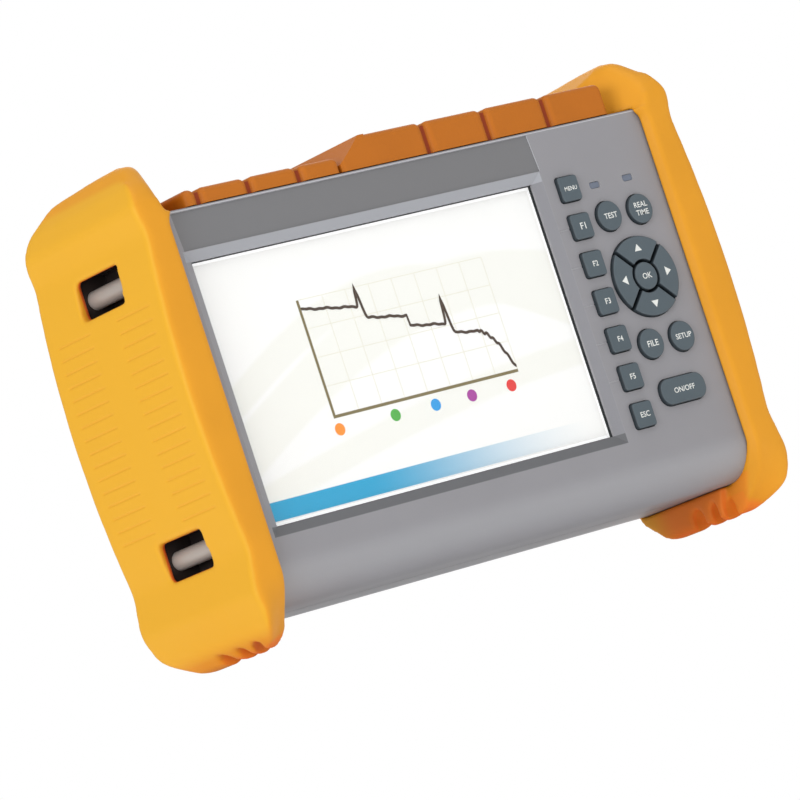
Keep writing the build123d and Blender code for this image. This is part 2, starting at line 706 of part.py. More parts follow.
def foot_notch(distance):
    """Groove across the foot, deep at its inner side and running out to a shallow wave outside."""
    reach = 30.0
    slope = degrees(atan2(NOTCH_RISE - NOTCH_RUNOUT, HALF - FOOT_INSIDE))
    groove = Rot(0, 90, 0) * rod(NOTCH_WIDTH, (0, 0, -reach), (0, 0, reach))
    slot = plate(-reach, reach, -NOTCH_WIDTH / 2, NOTCH_WIDTH / 2, -2 * NOTCH_WIDTH, 0)
    cutter = Rot(0, slope, 0) * Pos(0, 0, NOTCH_RISE - NOTCH_WIDTH / 2) * (groove + slot)
    return Pos(FOOT_INSIDE, depth(distance), 0) * cutter


def grip_lines():
    """Fine V grooves between the strap windows, from both ends of the outer face to short of its middle."""
    low, high = WINDOW_LOW + WINDOW_HEIGHT + GRIP_MARGIN, WINDOW_HIGH - GRIP_MARGIN
    middle, reach = (DIP_LOW + DIP_HIGH) / 2, (DIP_HIGH - DIP_LOW) / 2
    vee = Rot(45, 0, 0) * Box(GRIP_LENGTH, GRIP_DEPTH * 1.4, GRIP_DEPTH * 1.4)
    cuts = []
    for i in range(GRIP_COUNT):
        height = low + (high - low) * i / (GRIP_COUNT - 1)
        surface = HALF - BOW_RISE * ((height - middle) / reach) ** 2
        for side in (-1, 1):
            centre = side * (DEPTH - GRIP_LENGTH) / 2
            cuts.append(Pos(surface, centre, height) * Rot(0, 0, 90 - side * GRIP_TURN) * vee)
    return cuts


# Keys, lenses and what lies behind them

KEY_SEAT = FACE_INSIDE + 2 * KEY_SLACK
KEY_BACK = KEY_SEAT + KEY_FLANGE_THICK
MAT_FRONT = KEY_BACK + KEY_TRAVEL + KEY_SLACK
STEM_END = MAT_FRONT + MAT_THICK + KEY_SLACK
DOME_TOP = STEM_END + KEY_TRAVEL + KEY_SLACK
BOARD_FRONT = DOME_TOP + DOME_HEIGHT


def stem_place(name):
    """Centre of a key's stem: the arrow keys push at the middle of their quarter."""
    x, z, _ = KEYS[name]
    reach = (PAD_DIAMETER / 2 + OK_DIAMETER / 2 + OK_RING) / 2
    if name in ARROW_TURNS:
        return x + reach * cos(radians(ARROW_TURNS[name])), z + reach * sin(radians(ARROW_TURNS[name]))
    return x, z


def flange_shape(name):
    """Outline of a key's flange; in the arrow pad only the outer rim reaches under the face."""
    _, _, draw = KEYS[name]
    if name == "ok":
        return draw(0)
    if name in ARROW_TURNS:
        band = Circle(PAD_DIAMETER / 2 + KEY_FLANGE) - Circle(PAD_DIAMETER / 2 - 1)
        rise = PAD_DIAMETER - 2
        wedge = make_face(Polyline((1, 0), (PAD_DIAMETER, rise), (PAD_DIAMETER, -rise), close=True))
        return draw(0) + Rot(0, 0, ARROW_TURNS[name]) * (band & wedge)
    return draw(KEY_FLANGE)


def make_key(name):
    """Soft key: domed edge, flange behind the face, stem that reaches for its dome switch."""
    x, z, draw = KEYS[name]
    cap = forward_prism(Pos(x, z) * draw(), FACE - KEY_PROUD, KEY_SEAT)
    cap = fillet(cap.edges().group_by(Axis.Y)[0], KEY_EDGE)
    flange = forward_prism(Pos(x, z) * flange_shape(name), KEY_SEAT, KEY_BACK)
    stem_x, stem_z = stem_place(name)
    return cap + flange + rod(STEM_DIAMETER, (stem_x, KEY_BACK - 0.1, stem_z), (stem_x, STEM_END, stem_z))


def make_led_lens(x):
    body = forward_prism(Pos(x, LED_Z) * led_shape(), FACE + LED_SINK, FACE_INSIDE)
    flange = forward_prism(Pos(x, LED_Z) * led_shape(LED_FLANGE), FACE_INSIDE, FACE_INSIDE + LED_FLANGE_THICK)
    return body + flange


def keyboard_span():
    """Left, right, lower and upper edge of the keypad board: a margin beyond the outermost stems."""
    heights = [stem_place(name)[1] for name in KEYS]
    return KEYBOARD_LEFT, KEYBOARD_RIGHT, min(heights) - KEYBOARD_MARGIN, max(heights) + KEYBOARD_MARGIN


def keyboard_outline(inset_x, inset_z, corner):
    """Rounded rectangle that keeps a distance from the keypad board's edges."""
    left, right, low, high = keyboard_span()
    outline = RectangleRounded(right - left - 2 * inset_x, high - low - 2 * inset_z, corner)
    return Pos((left + right) / 2, (low + high) / 2) * outline


def make_keypad_mat():
    """Rubber sheet with a hole for each stem and a rim that stands on the circuit board."""
    outline = keyboard_outline(MAT_INSET_X, MAT_INSET_Z, MAT_CORNER)
    rim = outline - keyboard_outline(MAT_INSET_X + MAT_RIM, MAT_INSET_Z + MAT_RIM, MAT_CORNER - MAT_RIM)
    sheet = forward_prism(outline, MAT_FRONT, MAT_FRONT + MAT_THICK)
    sheet += forward_prism(rim, MAT_FRONT + MAT_THICK, BOARD_FRONT)
    for name in KEYS:
        x, z = stem_place(name)
        sheet -= rod(STEM_DIAMETER + 2 * KEY_GAP, (x, MAT_FRONT - 1, z), (x, BOARD_FRONT, z))
    return sheet


def keyboard_posts():
    """Posts that carry the keypad board; the upper right one stands beside the screw boss."""
    left, right, low, high = keyboard_span()
    left, right = left + POST_INSET, right - POST_INSET
    low, high = low + POST_INSET, high - POST_INSET
    return [(left, high), (right - BOSS, high), (left, low), (right, low)]


def make_keypad_board():
    back = BOARD_FRONT + KEYBOARD_THICK
    board = forward_prism(keyboard_outline(0, 0, KEYBOARD_CORNER), BOARD_FRONT, back)
    for x, z in keyboard_posts():
        board -= rod(POST_HOLE, (x, BOARD_FRONT - 1, z), (x, back + 1, z))
    for x, z in SCREWS:
        board -= rod(BOSS + 1, (x, BOARD_FRONT - 1, z), (x, back + 1, z))
    return board


def make_dome_switches():
    """Low metal domes, one under each stem."""
    domes = []
    for name in KEYS:
        x, z = stem_place(name)
        foot = Plane((x, BOARD_FRONT, z), z_dir=(0, -1, 0))
        profile = make_face(Polyline((0, 0), (DOME_DIAMETER / 2, 0), (DOME_DIAMETER / 4, DOME_HEIGHT),
                                     (0, DOME_HEIGHT), close=True))
        domes.append(foot * revolve(Plane.XZ * profile, Axis.Z))
    return domes


def make_screen_window():
    return forward_prism(screen_area(GLASS_LAP), FACE_INSIDE, FACE_INSIDE + GLASS_THICK)


LCD_FRONT = FACE_INSIDE + GLASS_THICK


def make_lcd_module():
    body = forward_prism(screen_area(LCD_LAP), LCD_FRONT, LCD_FRONT + LCD_THICK)
    return chamfer(body.edges().group_by(Axis.Y)[-1], LCD_BEVEL)


# Port tray, sockets and covers

def cover_spans():
    """X reach of the low and of the tall cover."""
    return {"low_port_cover": (COVER_LEFT, COVER_STEP - COVER_JOIN), "tall_port_cover": (COVER_STEP, COVER_RIGHT)}


def along_cover(cover, share):
    """X at a share of a cover's length."""
    x0, x1 = cover_spans()[cover]
    return x0 + share * (x1 - x0)


ADAPTER_X = {name: along_cover("tall_port_cover", share) for name, share in ADAPTER_SHARES.items()}
DC_X = along_cover("low_port_cover", DC_SHARE)
USB_X = [along_cover("low_port_cover", share) for share in USB_SHARES]
NET_X = along_cover("low_port_cover", NET_SHARE)
PORT_PLACE = depth(PORT_Y)
PORT_SEAT = TRAY_FLOOR + TRAY_WALL
ADAPTER_TOP = PORT_SEAT + ADAPTER_FLANGE_THICK + ADAPTER_RISE
SLEEVE_TOP = ADAPTER_TOP - SLEEVE_SINK
SLEEVE_BOTTOM = SLEEVE_TOP - SLEEVE_LENGTH


def port_square(x, half, z0, z1):
    """Square block round a fibre port's axis."""
    return plate(x - half, x + half, PORT_PLACE - half, PORT_PLACE + half, z0, z1)


def port_rod(x, diameter, z0, z1):
    """Round bar along a port's axis."""
    return rod(diameter, (x, PORT_PLACE, z0), (x, PORT_PLACE, z1))


def make_port_tray():
    """Open tray under the covers, with a lip held under the case's top."""
    front, back = depth(TRAY_FRONT), depth(TRAY_BACK)
    tray = plate(-TRAY_HALF, TRAY_HALF, front, back, TRAY_FLOOR, CASE_TOP - TRAY_SINK)
    tray -= plate(-TRAY_HALF + TRAY_WALL, TRAY_HALF - TRAY_WALL, front + TRAY_WALL, back - TRAY_WALL,
                  TRAY_FLOOR + TRAY_WALL, CASE_TOP + 1)
    lip_top = CASE_TOP - WALL - 0.1
    lip = plate(-TRAY_HALF - TRAY_LIP, TRAY_HALF + TRAY_LIP, front - TRAY_LIP, back + TRAY_LIP,
                lip_top - TRAY_LIP_THICK, lip_top)
    tray += lip - plate(-TRAY_HALF + 1, TRAY_HALF - 1, front + 1, back - 1, TRAY_FLOOR, CASE_TOP)
    for x in ADAPTER_X.values():
        tray -= port_square(x, ADAPTER_BODY / 2 + FIT, TRAY_FLOOR - 1, PORT_SEAT + 1)
    for block in socket_blocks(FIT).values():
        tray -= block
    return tray


def make_adapter(x):
    """Round screw-type fibre adapter: square flange, threaded barrel, body under the tray."""
    seat = PORT_SEAT + ADAPTER_FLANGE_THICK
    body = port_square(x, ADAPTER_FLANGE / 2, PORT_SEAT, seat)
    body = fillet(body.edges().filter_by(Axis.Z), ADAPTER_CORNER)
    barrel = port_rod(x, ADAPTER_BARREL, PORT_SEAT, ADAPTER_TOP)
    body += chamfer(barrel.edges().group_by(Axis.Z)[-1], ADAPTER_LEAD)
    body += port_square(x, ADAPTER_BODY / 2, PORT_SEAT - ADAPTER_DROP, PORT_SEAT)
    body -= port_rod(x, ADAPTER_BORE, seat, ADAPTER_TOP + 1)
    body -= port_rod(x, SLEEVE_OUTER, SLEEVE_BOTTOM, ADAPTER_TOP + 1)
    for reach in (-ADAPTER_HOLE_REACH, ADAPTER_HOLE_REACH):
        place = Pos(reach, reach)
        body -= place * port_rod(x, ADAPTER_HOLE, PORT_SEAT - 1, seat + 1)
    return body


def make_ferrule_sleeves():
    return [port_rod(x, SLEEVE_OUTER, SLEEVE_BOTTOM, SLEEVE_TOP)
            - port_rod(x, FERRULE, SLEEVE_BOTTOM - 1, SLEEVE_TOP + 1) for x in ADAPTER_X.values()]


def socket_block(x, kind, grow):
    """Outer form of an electrical socket that stands on the IO board."""
    width, length = SOCKET_SIZES[kind]
    return plate(x - width / 2 - grow, x + width / 2 + grow, PORT_PLACE - length / 2 - grow,
                 PORT_PLACE + length / 2 + grow, IO_TOP, SOCKET_TOP)


def socket_blocks(grow):
    """Outer forms of the electrical sockets, grown by a margin."""
    blocks = {name: socket_block(x, name, grow) for name, x in (("dc_jack", DC_X), ("ethernet_jack", NET_X))}
    for i, x in enumerate(USB_X):
        blocks["usb_%d" % i] = socket_block(x, "usb", grow)
    return blocks


def slot(x, half_width, y0, y1, z0, z1):
    """Block centred on a socket's X, its Y and Z counted from the port line and the IO board."""
    return plate(x - half_width, x + half_width, PORT_PLACE + y0, PORT_PLACE + y1, IO_TOP + z0, z1)


def make_dc_jack():
    body = socket_block(DC_X, "dc_jack", 0)
    body -= port_rod(DC_X, DC_BORE, IO_TOP + 4, SOCKET_TOP + 1)
    return body + port_rod(DC_X, DC_PIN, IO_TOP + 3, SOCKET_TOP - 1)


def make_usb_sockets():
    """Two sockets on edge, each with its contact tongue."""
    sockets = []
    for x in USB_X:
        body = socket_block(x, "usb", 0) - slot(x, 2.7, -6.3, 6.3, 3, SOCKET_TOP + 1)
        sockets.append(body + slot(x - 0.6, 1.0, -5.6, 5.6, 2, SOCKET_TOP - 1.5))
    return sockets


def make_ethernet_jack():
    """Eight-contact jack with its stepped latch slot."""
    body = socket_block(NET_X, "ethernet_jack", 0)
    for half_width, y0, y1 in ((5.9, -5.0, 2.2), (3.1, 2.2, 4.2), (1.7, 4.2, 5.6)):
        body -= slot(NET_X, half_width, y0, y1, 2.5, SOCKET_TOP + 1)
    return body


def make_io_board():
    return plate(DC_X - IO_MARGIN + 4, NET_X + IO_MARGIN, PORT_PLACE - IO_LENGTH / 2, PORT_PLACE + IO_LENGTH / 2,
                 IO_TOP - IO_THICK, IO_TOP)


def cover_lug_profile():
    """Side view of a cover lug on the case's top."""
    low = CASE_TOP - 1
    lug = Pos(depth(HINGE_Y), HINGE_Z) * Circle(HINGE_BEAD)
    return lug + Pos(depth(HINGE_Y), (HINGE_Z + low) / 2) * Rectangle(2 * HINGE_BEAD, HINGE_Z - low)


def cover_lug_spans():
    """Two lugs for each cover, a little in from its ends."""
    spans = []
    for x0, x1 in cover_spans().values():
        left, right = x0 + LUG_INSET, x1 - LUG_INSET
        spans += [(left, left + LUG_WIDTH), (right - LUG_WIDTH, right)]
    return spans


def pillow(x0, x1, top):
    """One soft swelling of a cover, rounded on every edge that can be felt."""
    body = plate(x0, x1, depth(COVER_FRONT), depth(COVER_BACK), CASE_TOP + COVER_SEAT, top)
    ends = body.edges().filter_by(Axis.Z) + body.edges().group_by(Axis.Z)[-1]
    return fillet(ends, PILLOW_EDGE)


def add_hinge(body, x0, x1):
    """Bead and web along the back of a cover, with gaps for the lugs and a bore for the pin."""
    hinge = side_prism(Pos(depth(HINGE_Y), HINGE_Z) * Circle(HINGE_BEAD), x0, x1)
    hinge += plate(x0, x1, depth(COVER_BACK) - 1, depth(HINGE_Y), HINGE_Z - HINGE_WEB, HINGE_Z + HINGE_WEB)
    for lug0, lug1 in cover_lug_spans():
        hinge -= plate(lug0 - LUG_GAP, lug1 + LUG_GAP, depth(COVER_BACK), BACK, CASE_TOP, HINGE_Z + 2 * HINGE_BEAD)
    body += hinge
    return body - rod(HINGE_PIN + 2 * RUN, (x0 - 1, depth(HINGE_Y), HINGE_Z), (x1 + 1, depth(HINGE_Y), HINGE_Z))


def make_cover(x0, x1, top, joints, slope):
    """Hollow rubber flap with a row of pillows; slope cuts its left end back by that much."""
    marks = [x0] + joints + [x1]
    low = CASE_TOP + COVER_SEAT
    front, back = depth(COVER_FRONT), depth(COVER_BACK)
    body = plate(x0 + GROOVE_DEPTH, x1 - GROOVE_DEPTH, front + GROOVE_DEPTH, back - GROOVE_DEPTH,
                 low, top - GROOVE_DEPTH)
    for left, right in zip(marks, marks[1:]):
        body += pillow(left + (GROOVE / 2 if left > x0 else 0), right - (GROOVE / 2 if right < x1 else 0), top)
    body -= plate(x0 + COVER_WALL, x1 - COVER_WALL, front + COVER_WALL, back - COVER_WALL, low - 1, top - COVER_WALL)
    if slope:
        shoulder, crest = TALL_SHOULDER_Z, x0 + slope
        ramp = make_face(Polyline((x0 - 1, shoulder), (x0, shoulder), (crest, top), (crest, top + 5),
                                  (x0 - 1, top + 5), close=True))
        body -= forward_prism(ramp, FRONT, BACK)
        skin = make_face(Polyline((x0, shoulder - COVER_WALL), (x0, shoulder), (crest, top), (crest + COVER_WALL, top),
                                  (crest + COVER_WALL, top - COVER_WALL), (x0 + COVER_WALL, shoulder - COVER_WALL),
                                  close=True))
        body += forward_prism(skin, front + SKIN_INSET, back - SKIN_INSET)
    return add_hinge(body, x0, x1)


def make_low_cover():
    """Cover of the electrical sockets: a narrow pillow behind the lobe, then three wide ones."""
    x0, x1 = cover_spans()["low_port_cover"]
    first = x0 + LOW_STUB
    joints = [first + share * (x1 - first) for share in (0, 0.3555, 0.711)]
    return make_cover(x0, x1, LOW_TOP, joints, 0)


def make_tall_cover():
    """Cover of the fibre ports: the first pillow carries the slope."""
    x0, x1 = cover_spans()["tall_port_cover"]
    joints = [x0 + share * (x1 - x0) for share in (0.325, 0.55, 0.775)]
    return make_cover(x0, x1, TALL_TOP, joints, TALL_SLOPE)


# Inner pieces

BOARD_FACE = depth(BOARD_Y)
BOARD_REAR = BOARD_FACE + BOARD_THICK
BAY_FLOOR = REAR - DOOR_THICK - BATTERY_DEPTH - 0.2


def board_corners():
    reach, rise = BOARD_WIDTH / 2 - BOARD_INSET, BOARD_HEIGHT / 2 - BOARD_INSET
    return [(BOARD_X + side * reach, BOARD_Z + up * rise) for side in (-1, 1) for up in (-1, 1)]


def make_main_board():
    board = plate(BOARD_X - BOARD_WIDTH / 2, BOARD_X + BOARD_WIDTH / 2, BOARD_FACE, BOARD_REAR,
                  BOARD_Z - BOARD_HEIGHT / 2, BOARD_Z + BOARD_HEIGHT / 2)
    for x, z in board_corners():
        board -= rod(BOARD_HOLE, (x, BOARD_FACE - 1, z), (x, BOARD_REAR + 1, z))
    return board


def make_optical_module():
    """Screened box with the laser, coupler and detector, on the back of the main board."""
    y0, y1 = BOARD_REAR + MODULE_STANDOFF, BAY_FLOOR - BAY_WALL - 1.5
    low, high = MODULE_Z - MODULE_HEIGHT / 2, MODULE_Z + MODULE_HEIGHT / 2
    box = plate(MODULE_LEFT, MODULE_RIGHT, y0, y1, low, high)
    box = chamfer(box.edges().group_by(Axis.Y)[-1], MODULE_BEVEL)
    for x in (MODULE_LEFT + MODULE_FOOT_INSET, MODULE_RIGHT - MODULE_FOOT_INSET):
        for z in (low + MODULE_FOOT_INSET, high - MODULE_FOOT_INSET):
            box += rod(MODULE_FOOT, (x, BOARD_REAR, z), (x, y0 + 0.1, z))
    return box


def make_fibre_spool():
    """Flanged spool that stores the inner fibre."""
    y0, y1 = BOARD_REAR, BOARD_REAR + SPOOL_THICK
    bore, radius = SPOOL_BORE / 2, SPOOL_DIAMETER / 2
    groove = radius - SPOOL_GROOVE
    inner = groove - SPOOL_RIM
    low, high = y0 + SPOOL_FLANGE, y1 - SPOOL_FLANGE
    profile = make_face(Polyline((bore, y0), (radius, y0), (radius, low), (groove, low), (groove, high), (radius, high),
                                 (radius, y1), (inner, y1), (inner, low), (bore, low), close=True))
    return Pos(SPOOL_X, 0, MODULE_Z) * revolve(profile, Axis.Y)


def make_battery_pack():
    body = battery_area(0, BAY_FLOOR + 0.1, BAY_FLOOR + 0.1 + BATTERY_DEPTH)
    return fillet(body.edges().filter_by(Axis.X), BATTERY_ROUND)


def make_buzzer():
    x, z = BOARD_X - BOARD_WIDTH / 2 + BUZZER_INSET, BOARD_Z + 20
    top = BOARD_REAR + BUZZER_HEIGHT
    return rod(BUZZER_DIAMETER, (x, BOARD_REAR, z), (x, top, z)) - rod(BUZZER_HOLE, (x, top - 1, z), (x, top + 1, z))


def make_case_seal():
    """Rubber strip squeezed between the two shells, led round the strap pockets, open at the port tray."""
    middle = (WALL - SEAL_WIDTH) / 2
    filled = case_block(middle, SEAL_FRONT, SEAL_BACK, 0)
    hollow = case_block(middle + SEAL_WIDTH, SEAL_FRONT - 1, SEAL_BACK + 1, 0)
    for box in pocket_boxes(POCKET_MARGIN + SEAL_ROUND):
        filled -= box
    for box in pocket_boxes(POCKET_MARGIN + SEAL_ROUND + SEAL_WIDTH):
        hollow -= box
    return filled - hollow - tray_opening(FIT)


def hinge_pin(x0, x1):
    return rod(HINGE_PIN, (x0, depth(HINGE_Y), HINGE_Z), (x1, depth(HINGE_Y), HINGE_Z))


def node_shapes():
    """Every node's name and its solid or list of solids."""
    bumper = make_bumper()
    nodes = {
        "front_case": make_front_case(), "rear_case": make_rear_case(), "case_seal": make_case_seal(),
        "right_bumper": bumper, "left_bumper": mirror(bumper, about=Plane.YZ),
        "left_strap_pins": strap_pins(-1), "right_strap_pins": strap_pins(1),
        "screen_window": make_screen_window(), "lcd_module": make_lcd_module(),
        "left_led_lens": make_led_lens(LED_X[0]), "right_led_lens": make_led_lens(LED_X[1]),
        "keypad_mat": make_keypad_mat(), "keypad_board": make_keypad_board(),
        "dome_switches": make_dome_switches(), "main_board": make_main_board(),
        "optical_module": make_optical_module(), "fibre_spool": make_fibre_spool(),
        "buzzer": make_buzzer(), "battery_pack": make_battery_pack(), "battery_door": make_battery_door(),
        "port_tray": make_port_tray(), "ferrule_sleeves": make_ferrule_sleeves(),
        "io_board": make_io_board(), "dc_jack": make_dc_jack(), "usb_sockets": make_usb_sockets(),
        "ethernet_jack": make_ethernet_jack(), "low_port_cover": make_low_cover(),
        "tall_port_cover": make_tall_cover(), "kickstand": make_kickstand(),
        "case_screws": [screw(x, z, SCREW_TIP + 0.5, HEAD_SEAT, SCREW_DIAMETER - SCREW_PLAY, SCREW_HEAD,
                              SCREW_HEAD_HEIGHT) for x, z in SCREWS],
        "door_screws": [screw(x, z, DOOR_SCREW_TIP, DOOR_SCREW_SEAT, DOOR_SCREW, DOOR_SCREW_HEAD, 1.1)
                        for x, z in door_screw_places()],
        "board_screws": [screw_from_front(x, z) for x, z in board_corners()],
        "cover_hinge_pins": [hinge_pin(x0 + PIN_SET_IN, x1 - PIN_SET_IN) for x0, x1 in cover_spans().values()],
        "stand_pins": [rod(STAND_PIN, (start + 0.1, STAND_PIN_Y, STAND_Z), (end - 0.1, STAND_PIN_Y, STAND_Z))
                       for start, end in stand_pin_spans()],
    }
    nodes |= {name: make_adapter(x) for name, x in ADAPTER_X.items()}
    nodes |= {name + "_key": make_key(name) for name in KEYS}
    return nodes


def screw_from_front(x, z):
    """Board screw: head on the board's front, shank into its post."""
    body = rod(BOARD_SCREW, (x, BOARD_FACE, z), (x, BOARD_REAR + 7, z))
    body += rod(5.4, (x, BOARD_FACE - 1.8, z), (x, BOARD_FACE, z))
    return body - rod(2, (x, BOARD_FACE - 2.5, z), (x, BOARD_FACE - 0.9, z))


for node, shape in node_shapes().items():
    solids = shape if isinstance(shape, list) else shape.solids()
    export_step(Compound(children=list(solids)) if len(solids) > 1 else solids[0], "parts/%s.step" % node)
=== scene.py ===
"""Looks of a hand-held optical time domain reflectometer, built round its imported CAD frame."""

import json
import logging
import math
from dataclasses import dataclass
from enum import Enum
from functools import reduce
from typing import Callable, Sequence, Union

import bmesh
import bpy
from bmesh.types import BMesh, BMFace
from bpy.types import ID, Material, Mesh, Node, NodeSocket, Object
from mathutils import Matrix, Vector

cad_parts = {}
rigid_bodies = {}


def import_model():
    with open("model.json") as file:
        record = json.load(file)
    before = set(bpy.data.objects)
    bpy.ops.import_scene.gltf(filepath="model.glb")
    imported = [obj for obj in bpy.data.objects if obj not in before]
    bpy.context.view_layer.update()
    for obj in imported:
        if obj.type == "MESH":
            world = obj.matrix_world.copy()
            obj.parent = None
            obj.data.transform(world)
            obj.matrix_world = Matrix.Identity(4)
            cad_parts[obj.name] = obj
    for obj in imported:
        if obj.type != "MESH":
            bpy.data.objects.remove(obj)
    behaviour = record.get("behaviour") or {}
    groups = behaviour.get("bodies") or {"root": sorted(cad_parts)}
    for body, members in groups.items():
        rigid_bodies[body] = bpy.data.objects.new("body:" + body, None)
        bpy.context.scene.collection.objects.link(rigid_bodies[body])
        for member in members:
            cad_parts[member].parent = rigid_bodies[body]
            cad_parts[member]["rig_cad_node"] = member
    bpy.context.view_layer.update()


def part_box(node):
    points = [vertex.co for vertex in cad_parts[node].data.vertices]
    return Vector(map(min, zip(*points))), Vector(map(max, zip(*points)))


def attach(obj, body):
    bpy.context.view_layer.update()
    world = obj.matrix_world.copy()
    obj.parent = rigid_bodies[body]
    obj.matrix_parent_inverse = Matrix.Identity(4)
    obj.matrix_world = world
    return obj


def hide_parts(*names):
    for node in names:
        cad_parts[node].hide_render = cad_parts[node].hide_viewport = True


LOG = logging.getLogger("reflectometer")
Pair = tuple[float, float]
Triple = tuple[float, float, float]
Colour = Triple
Outline = Sequence[Pair]
Value = Union["Shade", NodeSocket, Colour, float]
Inputs = dict[Union[str, int], Value]


def srgb(red: float, green: float, blue: float) -> Colour:
    """Turns a screen colour into the linear one that shaders use.

    Args:
        red, green, blue: Screen values from 0 to 255.

    Returns:
        The same colour in linear light.
    """
    def linear(value: float) -> float:
        """Linear light of one screen value."""
        share = value / 255
        return share / 12.92 if share <= 0.04045 else ((share + 0.055) / 1.055) ** 2.4
    return linear(red), linear(green), linear(blue)


class Shade:
    """A number inside a shader, with the usual operators."""

    def __init__(self, tree: "Tree", socket: NodeSocket) -> None:
        """Wraps one output socket of a node tree."""
        self.tree = tree
        self.socket = socket

    def __add__(self, other: "Shade | float") -> "Shade":
        """Sum."""
        return self.tree.maths("ADD", self, other)

    def __sub__(self, other: "Shade | float") -> "Shade":
        """Difference."""
        return self.tree.maths("SUBTRACT", self, other)

    def __rsub__(self, other: float) -> "Shade":
        """A number less the value."""
        return self.tree.maths("SUBTRACT", other, self)

    def __mul__(self, other: "Shade | float") -> "Shade":
        """Product."""
        return self.tree.maths("MULTIPLY", self, other)

    def __truediv__(self, other: "Shade | float") -> "Shade":
        """Quotient."""
        return self.tree.maths("DIVIDE", self, other)

    def __abs__(self) -> "Shade":
        """The value without its sign."""
        return self.tree.maths("ABSOLUTE", self)

    __radd__ = __add__
    __rmul__ = __mul__

    def either(self, other: "Shade") -> "Shade":
        """The larger of two shares."""
        return self.tree.maths("MAXIMUM", self, other)

    def repeat(self) -> "Shade":
        """The part after the point, which starts again at each whole number."""
        return self.tree.maths("FRACT", self)

    def over(self, edge: float, soft: float) -> "Shade":
        """Rises smoothly from 0 to 1 as the value passes an edge.

        Args:
            edge: Value in the middle of the rise.
            soft: Half the width of the rise.

        Returns:
            The share from 0 to 1.
        """
        edges = {"Value": self, "From Min": edge - soft, "From Max": edge + soft}
        return self.tree.shade("ShaderNodeMapRange", edges, interpolation_type="SMOOTHSTEP")

    def within(self, low: float, high: float, soft: float) -> "Shade":
        """Is 1 between two edges and 0 outside them, with rises as soft as given."""
        return self.over(low, soft) - self.over(high, soft)


class Tree:
    """Nodes and links of a material or of the world, emptied first."""

    def __init__(self, owner: ID) -> None:
        """Takes over the owner's node tree."""
        owner.use_nodes = True
        self.nodes = owner.node_tree.nodes
        self.links = owner.node_tree.links
        self.nodes.clear()

    def node(self, kind: str, inputs: Inputs | None = None, **settings: object) -> Node:
        """Adds a node, sets its properties and then its sockets.

        Args:
            kind: Blender's name of the node type.
            inputs: Value or link of each socket, by its name or place.
            settings: Properties of the node.

        Returns:
            The node.
        """
        made = self.nodes.new(kind)
        for name, value in settings.items():
            setattr(made, name, value)
        for place, value in (inputs or {}).items():
            self.feed(made.inputs[place], value)
        return made

    def shade(self, kind: str, inputs: Inputs, output: str | int = 0, **settings: object) -> Shade:
        """Adds a node and wraps one of its outputs as a number."""
        return Shade(self, self.node(kind, inputs, **settings).outputs[output])

    def maths(self, operation: str, *values: "Shade | float") -> Shade:
        """Adds a Math node for one operation on its values."""
        return self.shade("ShaderNodeMath", dict(enumerate(values)), operation=operation)

    def feed(self, socket: NodeSocket, value: Value) -> None:
        """Links or sets one input socket."""
        if isinstance(value, Shade):
            value = value.socket
        if isinstance(value, NodeSocket):
            self.links.new(value, socket)
        elif socket.type == "RGBA":
            socket.default_value = (*value, 1.0)
        else:
            socket.default_value = value


class Canvas(Tree):
    """One material: its Principled shader, coordinates and patterns."""

    def __init__(self, name: str) -> None:
        """Starts an empty material with a Principled shader."""
        self.material = bpy.data.materials.new(name)
        super().__init__(self.material)
        self.shader = self.node("ShaderNodeBsdfPrincipled")
        self.output = self.node("ShaderNodeOutputMaterial", {"Surface": self.shader.outputs[0]})
        self.places = self.node("ShaderNodeTexCoord")
        self.x, self.y, self.z = self.parts("Object")

    def parts(self, kind: str) -> list[Shade]:
        """X, Y and Z of one kind of texture coordinates."""
        split = self.node("ShaderNodeSeparateXYZ", {0: self.places.outputs[kind]})
        return [Shade(self, socket) for socket in split.outputs]

    def facing(self, axis: int) -> Shade:
        """How squarely the surface faces along X, Y or Z, from 0 to 1."""
        return abs(self.parts("Normal")[axis])

    def noise(self, size: float, detail: float = 2.0, stretch: Triple = (1.0, 1.0, 1.0)) -> Shade:
        """Cloudy noise.

        Args:
            size: Width of one cloud in metres.
            detail: Octaves of finer noise.
            stretch: Factor along each axis, above 1 for shorter clouds.

        Returns:
            Noise from 0 to 1, about 0.5.
        """
        place = self.node("ShaderNodeMapping", {"Vector": self.places.outputs["Object"], "Scale": stretch})
        inputs = {"Vector": place.outputs[0], "Scale": 1 / size, "Detail": detail}
        return self.shade("ShaderNodeTexNoise", inputs)

    def pebbles(self, size: float) -> Shade:
        """Distance to the nearest of scattered cells of a size in metres, as a share of a cell."""
        inputs = {"Vector": self.places.outputs["Object"], "Scale": 1 / size, "Smoothness": 0.6}
        return self.shade("ShaderNodeTexVoronoi", inputs, "Distance", feature="SMOOTH_F1")

    def mixed(self, share: Shade, first: Value, second: Value) -> NodeSocket:
        """Blends two colours by a share: 0 gives the first, 1 the second."""
        return self.node("ShaderNodeMix", {0: share, 6: first, 7: second}, data_type="RGBA").outputs[2]

    def put(self, **values: Value) -> None:
        """Feeds sockets of the Principled shader, named with _ for a space."""
        for name, value in values.items():
            self.feed(self.shader.inputs[name.replace("_", " ")], value)

    def bump(self, height: Shade, depth: float) -> None:
        """Adds surface relief.

        Args:
            height: Pattern from 0 to 1.
            depth: Depth of the relief in metres.
        """
        self.put(Normal=self.node("ShaderNodeBump", {"Distance": depth, "Height": height}).outputs[0])


class Grain(Enum):
    """How a moulded surface feels."""

    SATIN = "satin"
    PEBBLED = "pebbled"
    SMOOTH = "smooth"


